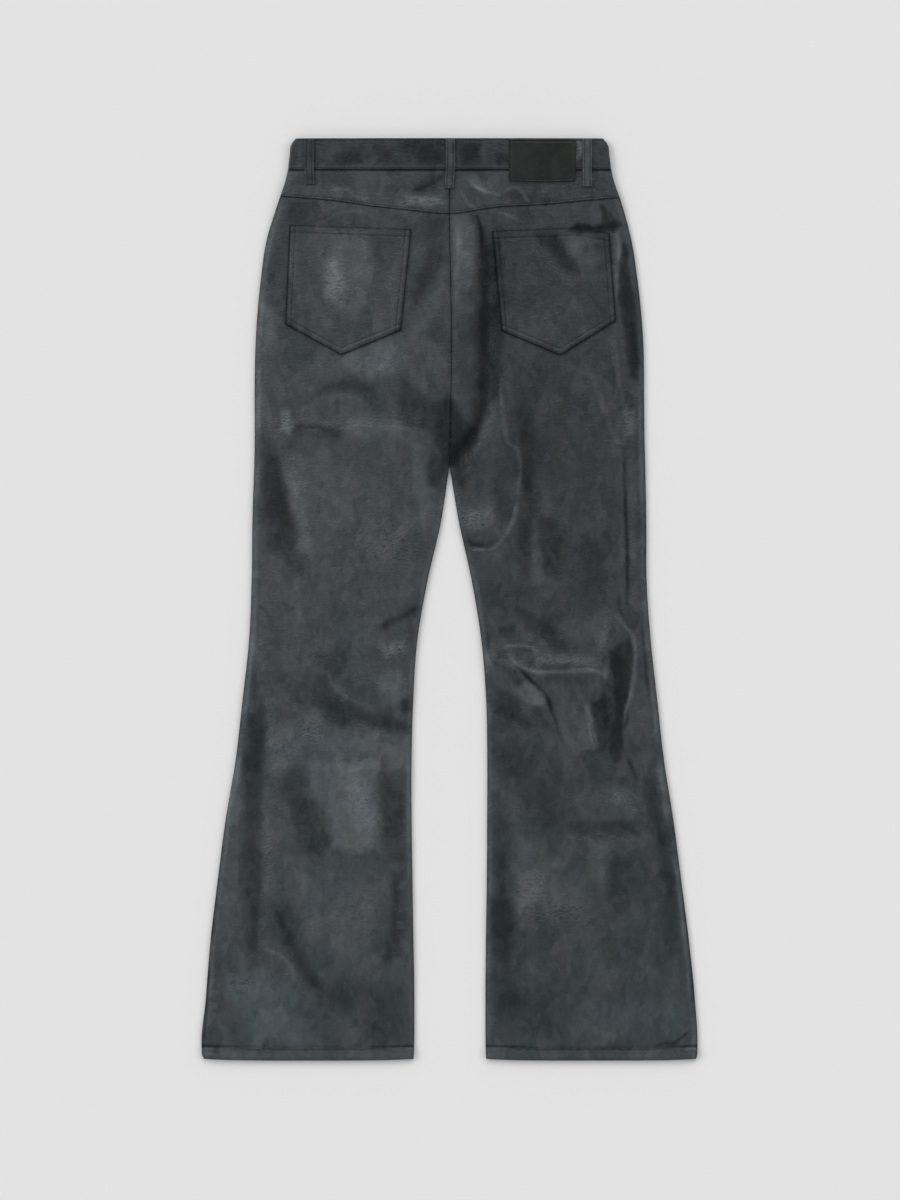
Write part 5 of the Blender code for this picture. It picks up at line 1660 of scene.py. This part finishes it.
@dataclass
class WaistPatch:
    """The bare leather patch on the waistband, right of the centre."""

    left: float = 75.4
    right: float = 160.0
    top: float = 1169.0
    bottom: float = 1117.0
    bow: float = 0.0009
    thick: float = 1.2
    bends_from: float = 1108.0
    dents: Waves = Waves(0.12, 16.0, 71)
    tones: Waves = Waves(0.25, 20.0, 72)
    warmths: Waves = Waves(0.5, 30.0, 73)
    rim: Edge = Edge(radius=0.5, stitches=(2.2,), edge_shade=0.3)

    def low(self, across: Array) -> Array:
        """The lower edge, which bows down in its middle."""
        return self.bottom - self.bow * np.maximum((across - self.left) * (self.right - across), 0.0)

    def underside(self, across: Array, up: Array) -> Array:
        """On the waistband, and bent down a little over the yoke."""
        on_band = DRAPE.band_underside(across) + DRAPE.band_thick + 0.75
        on_yoke = DRAPE.back_top(across, np.minimum(up, DRAPE.band_seam - 2.0)) + DRAPE.raised
        blend = smooth_step(self.bends_from, DRAPE.band_seam - 2.0, up)
        return np.maximum(on_yoke, on_band - 1.4) * (1.0 - blend) + on_band * blend

    def build(self) -> bpy.types.Object:
        """Builds the patch."""
        grid = Layout.between(level(self.left), level(self.right), self.low, level(self.top),
                              Spacing(NEAR_SEAM, NEAR_SEAM, 24), Spacing(NEAR_SEAM, NEAR_SEAM, 14),
                              (118.0, 1140.0))
        under = self.underside(grid.across, grid.up)
        away = (grid.from_left, grid.from_right, grid.from_low, grid.from_high)
        over = under + self.thick + self.dents.at(grid.across, grid.up)
        over = np.maximum(over + sum(self.rim.relief(each) for each in away), under + 0.2)
        tone = sum(self.rim.tone(each) for each in away) + self.tones.at(grid.across, grid.up)
        paint = {"tone": tone, "warmth": self.warmths.at(grid.across, grid.up)}
        made = closed_shell("waist_patch", grid.between_sides(under, over), PATCH_LEATHER, paint)
        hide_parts("patch")
        return made


@dataclass
class WaistButton:
    """A round button with a sunk face and a raised centre, under the lapped waistband."""

    radius: float = 8.5
    thick: float = 1.7

    def build(self) -> bpy.types.Object:
        """Models the button from a disc, face down."""
        up = DRAPE.band_seam - DRAPE.front_dip + (DRAPE.length - DRAPE.band_seam) / 2
        bpy.ops.object.select_all(action="DESELECT")
        centre = (0.0, (up - DRAPE.length / 2) * MM, self.thick * MM / 2)
        bpy.ops.mesh.primitive_cylinder_add(vertices=48, radius=self.radius * MM, depth=self.thick * MM,
                                            location=centre)
        button = bpy.context.object
        button.name = "waist_button_disc"
        bpy.ops.object.transform_apply(location=True, rotation=True, scale=True)
        bpy.ops.object.mode_set(mode="EDIT")
        bpy.ops.mesh.select_mode(type="FACE")
        for inset, push in ((1.3, 0.45), (3.9, -0.3), (0.6, 0.0)):
            bpy.ops.object.mode_set(mode="OBJECT")
            for polygon in button.data.polygons:
                polygon.select = polygon.normal.z < -0.9 and len(polygon.vertices) > 8
            bpy.ops.object.mode_set(mode="EDIT")
            bpy.ops.mesh.inset(thickness=inset * MM)
            bpy.ops.transform.translate(value=(0.0, 0.0, push * MM))
        bpy.ops.object.mode_set(mode="OBJECT")
        rounding = button.modifiers.new("rounding", "BEVEL")
        rounding.width = 0.22 * MM
        rounding.segments = 2
        rounding.limit_method = "ANGLE"
        bpy.ops.object.modifier_apply(modifier=rounding.name)
        bpy.ops.object.shade_smooth_by_angle(angle=math.radians(35.0))
        button.data.materials.clear()
        button.data.materials.append(GUNMETAL.material())
        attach(button, BODY)
        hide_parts("waist_button")
        LOG.info("waist_button_disc: %d points", len(button.data.vertices))
        return button


# ---- stitches


@dataclass(frozen=True)
class StitchRow:
    """A row of stitches along a line on a surface."""

    path: tuple[Point, ...]
    surface: Surface
    pitch: float = 3.4


@dataclass
class Stitching:
    """All stitches of one piece, each a copy of one modelled stitch."""

    name: str
    rows: list[StitchRow]
    stitch_length: float = 2.6
    thread: float = 0.62
    dip: float = 0.22
    turn_over: float = 0.6
    slope_over: float = 1.2

    def one_stitch(self) -> tuple[Array, list[list[int]]]:
        """Models one stitch along X, as a slim form that dips at its ends: its points in mm and its faces."""
        bpy.ops.object.select_all(action="DESELECT")
        bpy.ops.mesh.primitive_uv_sphere_add(segments=6, ring_count=4, radius=1.0,
                                             rotation=(0.0, math.pi / 2, 0.0))
        stitch = bpy.context.object
        stitch.scale = (self.thread / 2, self.thread / 2, self.stitch_length / 2)
        bpy.ops.object.transform_apply(location=True, rotation=True, scale=True)
        points = np.array([vert.co for vert in stitch.data.vertices])
        ends = np.abs(points[:, 0]) / (self.stitch_length / 2)
        points[:, 2] -= self.dip * ends ** 4
        faces = [list(polygon.vertices) for polygon in stitch.data.polygons]
        bpy.data.objects.remove(stitch, do_unlink=True)
        return points, faces

    def places(self, row: StitchRow) -> Array:
        """The stitches' middles and run along a row: across, up and the run's two parts."""
        path = np.array(row.path, float)
        steps = np.linalg.norm(np.diff(path, axis=0), axis=1)
        walked = np.concatenate(((0.0,), np.cumsum(steps)))
        count = max(int(walked[-1] / row.pitch), 1)
        at = (np.arange(count) + 0.5) * walked[-1] / count
        middle, ahead, behind = (np.stack([np.interp(at + shift, walked, path[:, axis]) for axis in (0, 1)], axis=-1)
                                 for shift in (0.0, self.turn_over, -self.turn_over))
        run = ahead - behind
        return np.concatenate((middle, run / np.linalg.norm(run, axis=1, keepdims=True)), axis=1)

    def build(self) -> bpy.types.Object:
        """Copies the stitch along all rows and joins the copies."""
        stitch, faces = self.one_stitch()
        all_points = []
        for row in self.rows:
            across, up, run_x, run_y = self.places(row).T
            height = row.surface(across, up)
            ahead = row.surface(across + self.slope_over * run_x, up + self.slope_over * run_y)
            behind = row.surface(across - self.slope_over * run_x, up - self.slope_over * run_y)
            run = np.stack((run_x, run_y, (ahead - behind) / (2 * self.slope_over)), axis=-1)
            run = run / np.linalg.norm(run, axis=1, keepdims=True)
            aside = np.stack((-run_y, run_x, np.zeros(len(run_x))), axis=-1)
            upward = np.cross(run, aside)
            middle = np.stack((across, up, height), axis=-1)
            placed = middle[:, None, :] + stitch[None, :, :1] * run[:, None, :]
            placed = placed + stitch[None, :, 1:2] * aside[:, None, :]
            placed = placed + stitch[None, :, 2:] * upward[:, None, :]
            all_points.append(placed.reshape(-1, 3))
        points = np.concatenate(all_points)
        starts = range(0, len(points), len(stitch))
        joined = [[corner + start for corner in face] for start in starts for face in faces]
        return from_pieces(self.name, points, joined, THREAD)


def line_between(curve: Line, start: float, end: float, offset: float = 0.0) -> tuple[Point, ...]:
    """Points along a curve that runs across, moved up by an offset."""
    across = np.linspace(start, end, 60)
    return tuple(zip(across.tolist(), (curve(across) + offset).tolist()))


def inside_outline(corners: Sequence[Point], inset: float) -> list[Point]:
    """Moves an open line of corners to its left side by an inset, as a maker's gauge would."""
    points = np.array(corners, float)
    runs = np.diff(points, axis=0)
    runs = runs / np.linalg.norm(runs, axis=1, keepdims=True)
    lefts = np.stack((-runs[:, 1], runs[:, 0]), axis=-1)
    moved = [points[0] + inset * lefts[0]]
    for i in range(1, len(points) - 1):
        both = lefts[i - 1] + lefts[i]
        moved.append(points[i] + both * inset / (1.0 + float(lefts[i - 1] @ lefts[i])))
    moved.append(points[-1] + inset * lefts[-1])
    return [tuple(point) for point in moved]


@dataclass
class SewnLines:
    """Every visible row of stitches, grouped by the piece that it is sewn through."""

    pockets: tuple[BackPocket, BackPocket]
    patch: WaistPatch
    loops: tuple[BeltLoop, ...]
    sink: float = 0.12

    def on_panel(self, across: Array, up: Array) -> Array:
        """The surface that stitches on the panels and yokes lie on."""
        return DRAPE.back_top(across, up) - DRAPE.raised - self.sink

    def on_band(self, across: Array, up: Array) -> Array:
        """The surface that stitches on the waistband lie on."""
        return DRAPE.band_top(across, up) - 0.25

    def build(self) -> None:
        """Builds the stitches of each piece."""
        self.yokes_and_seat()
        self.waistband()
        self.hems()
        for pocket in self.pockets:
            self.pocket(pocket)
        self.patch_and_loops()

    def yokes_and_seat(self) -> None:
        """A row above the yoke seam and one beside the centre seam."""
        above = lambda across, up: self.on_panel(across, up) + 0.6
        rows = [StitchRow(line_between(DRAPE.yoke_seam, -212.0, -3.0, 3.1), above),
                StitchRow(line_between(DRAPE.yoke_seam, 3.0, 212.0, 3.1), above)]
        ups = np.linspace(770.0, 1072.0, 60)
        seam = tuple(zip((DRAPE.centre_seam(ups) - 3.0).tolist(), ups.tolist()))
        rows.append(StitchRow(seam, self.on_panel))
        Stitching("stitches_yokes_and_seat", rows).build()

    def waistband(self) -> None:
        """A row along each edge of the waistband's back."""
        rows = [StitchRow(line_between(level(up), -half, half), self.on_band)
                for up, half in ((DRAPE.band_seam + 3.0, 199.0), (DRAPE.length - 2.9, 192.0))]
        Stitching("stitches_waistband", rows).build()

    def hems(self) -> None:
        """A row along the top of each turned-up hem."""
        rows = [StitchRow(line_between(level(14.6), start, end), self.on_panel)
                for start, end in ((-310.0, -48.0), (49.0, 310.0))]
        Stitching("stitches_hems", rows).build()

    def pocket(self, pocket: BackPocket) -> None:
        """Two rows round a pocket and one under its mouth."""
        outline = [pocket.left[1], *pocket.bottom, pocket.right[1]]
        surface = lambda across, up: pocket.upper(across, up) - DRAPE.raised - 0.3
        rows = [StitchRow(tuple(inside_outline(outline, inset)), surface) for inset in (2.3, 7.3)]
        ends = (pocket.top[0][0] + 3.0, pocket.top[-1][0] - 3.0)
        rows.append(StitchRow(line_between(straight_through(pocket.top), *ends, -9.5), surface))
        Stitching(f"stitches_pocket_{word(pocket.side)}", rows).build()

    def patch_and_loops(self) -> None:
        """A row round the patch and bar tacks across the loops' ends."""
        patch = self.patch
        low = float(patch.low(np.array((patch.left + patch.right) / 2)))
        corners = [(patch.left, patch.top), (patch.left, patch.bottom), ((patch.left + patch.right) / 2, low),
                   (patch.right, patch.bottom), (patch.right, patch.top), (patch.left, patch.top)]
        on_patch = lambda across, up: patch.underside(across, up) + patch.thick - 0.25
        Stitching("stitches_patch", [StitchRow(tuple(inside_outline(corners, 2.2)), on_patch, 2.8)],
                  stitch_length=2.1, thread=0.5).build()
        rows = []
        for loop in self.loops:
            shifted = loop.across + loop.lean
            for up in (loop.lower_end + 2.2, loop.lower_end + 3.2, loop.lower_end + 4.2):
                rows.append(StitchRow(((shifted - 5.0, up), (shifted + 5.0, up)), loop.sewn_on, 1.6))
            for offset in (-3.4, 3.4):
                path = ((shifted + offset, loop.lower_end + 6.0), (loop.across + offset, DRAPE.band_seam),
                        (loop.across + offset, DRAPE.length - 4.0))
                rows.append(StitchRow(path, loop.sewn_on))
        Stitching("stitches_loops", rows, thread=0.5).build()


# ---- the studio


@dataclass
class Studio:
    """A plain pale floor, soft light from both sides and above, and the camera over it."""

    half_floor: float = 6.0
    floor_gap: float = 0.0002
    floor_colour: Colour = (0.876, 0.832, 0.815)
    overhead: float = 0.05
    around: float = 0.75
    dim_to: float = 17.0
    bright_from: float = 48.0
    air_colour: Colour = (0.925, 0.975, 1.0)
    light_colour: Colour = (0.945, 0.98, 1.0)
    softness: float = 34.0
    left_strength: float = 1.1
    right_strength: float = 0.45
    waist_strength: float = 0.75
    camera_height: float = 4.238
    camera_across: float = 0.00057
    camera_up: float = -0.00064
    lens: float = 100.0
    sensor: float = 36.0

    def floor(self) -> None:
        """Lays the floor just under the garment."""
        corners = ((-1, -1), (1, -1), (1, 1), (-1, 1))
        points = [(x * self.half_floor, y * self.half_floor, -self.floor_gap) for x, y in corners]
        mesh = bpy.data.meshes.new("floor")
        mesh.from_pydata(points, [], [(0, 1, 2, 3)])
        paper = bpy.data.materials.new("pale_floor")
        paper.use_nodes = True
        shader = paper.node_tree.nodes["Principled BSDF"]
        shader.inputs["Base Color"].default_value = (*self.floor_colour, 1.0)
        shader.inputs["Roughness"].default_value = 0.9
        shader.inputs["Specular IOR Level"].default_value = 0.1
        mesh.materials.append(paper)
        floor = bpy.data.objects.new("floor", mesh)
        bpy.context.scene.collection.objects.link(floor)

    def light(self, name: str, toward: tuple[float, float, float], strength: float) -> None:
        """Adds one far, wide and soft light, which falls evenly on the whole floor.

        Args:
            name: The light's name.
            toward: The direction in which it stands.
            strength: Its strength.
        """
        lamp = bpy.data.lights.new(name, "SUN")
        lamp.angle = math.radians(self.softness)
        lamp.energy = strength
        lamp.color = self.light_colour
        held = bpy.data.objects.new(name, lamp)
        held.location = toward
        held.rotation_euler = Vector(toward).to_track_quat("Z", "Y").to_euler()
        bpy.context.scene.collection.objects.link(held)

    def air(self) -> None:
        """The room's own light: dim straight overhead, where the camera hangs, and bright around."""
        world = bpy.data.worlds.new("studio_air")
        world.use_nodes = True
        sheet = NodeSheet(world.node_tree)
        background = world.node_tree.nodes["Background"]
        background.inputs["Color"].default_value = (*self.air_colour, 1.0)
        direction = sheet.add("ShaderNodeTexCoord").outputs["Generated"]
        upward = sheet.add("ShaderNodeSeparateXYZ", {0: direction}).outputs["Z"]
        dim, bright = (math.cos(math.radians(angle)) for angle in (self.dim_to, self.bright_from))
        strength = sheet.spread(upward, dim, bright, self.overhead, self.around)
        world.node_tree.links.new(strength, background.inputs["Strength"])
        bpy.context.scene.world = world

    def camera(self) -> None:
        """Hangs the camera over the middle of the garment, looking straight down."""
        camera = bpy.data.cameras.new("above")
        camera.lens = self.lens
        camera.sensor_width = self.sensor
        camera.sensor_height = self.sensor
        camera.sensor_fit = "VERTICAL"
        held = bpy.data.objects.new("above", camera)
        held.location = (self.camera_across, self.camera_up, self.camera_height)
        bpy.context.scene.collection.objects.link(held)
        bpy.context.scene.camera = held

    def build(self) -> None:
        """Sets up the floor, the lights, the room and the camera."""
        bpy.context.scene.view_settings.view_transform = "Standard"
        self.floor()
        self.light("soft_left", (-1.0, 0.35, 0.75), self.left_strength)
        self.light("soft_right", (1.0, 0.1, 0.7), self.right_strength)
        self.light("soft_waist", (0.05, 1.0, 0.75), self.waist_strength)
        self.air()
        self.camera()


def jeans_pockets() -> tuple[BackPocket, BackPocket]:
    """The two back pockets, with the right one's mouth standing open."""
    left = BackPocket(-1, ((-203.3, 1061.0), (-48.4, 1055.6)), ((-208.8, 934.9), (-203.3, 1061.0)),
                      ((-61.5, 927.6), (-48.4, 1055.6)), ((-208.8, 934.9), (-137.6, 896.0), (-61.5, 927.6)))
    right = BackPocket(1, ((53.7, 1053.3), (160.0, 1057.4), (203.2, 1050.0)), ((65.3, 926.5), (53.7, 1053.3)),
                       ((211.4, 939.8), (203.2, 1050.0)), ((65.3, 926.5), (140.4, 895.2), (211.4, 939.8)),
                       mouth_lift=2.2)
    return left, right


def main() -> None:
    """Builds the garment and the studio around the frame."""
    logging.basicConfig(level=logging.INFO, format="%(message)s")
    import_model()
    Studio().build()
    for side in (-1, 1):
        FrontPanel(side).build()
        BackPanel(side).build()
        Yoke(side).build()
    Waistband().build()
    pockets = jeans_pockets()
    for pocket in pockets:
        pocket.build()
    # the last value of a back loop is its painted highlight or painted shade
    back_loops = (
        BeltLoop("belt_loop_back_centre", "loop_back_centre", 1.2, 1107.0, -1.5, True, 0.2),
        BeltLoop("belt_loop_back_left", "loop_back_left", -178.0, 1112.5, 1.0, True, -0.2),
        BeltLoop("belt_loop_back_right", "loop_back_right", 174.7, 1109.5, 0.5, True, 0.45),
    )
    front_loops = (
        BeltLoop("belt_loop_front_left", "loop_front_left", -118.0, 1103.0, 0.0, False),
        BeltLoop("belt_loop_front_right", "loop_front_right", 118.0, 1103.0, 0.0, False),
    )
    for loop in back_loops + front_loops:
        loop.build()
    patch = WaistPatch()
    patch.build()
    WaistButton().build()
    SewnLines(pockets, patch, back_loops).build()


if __name__ == "__main__":
    main()
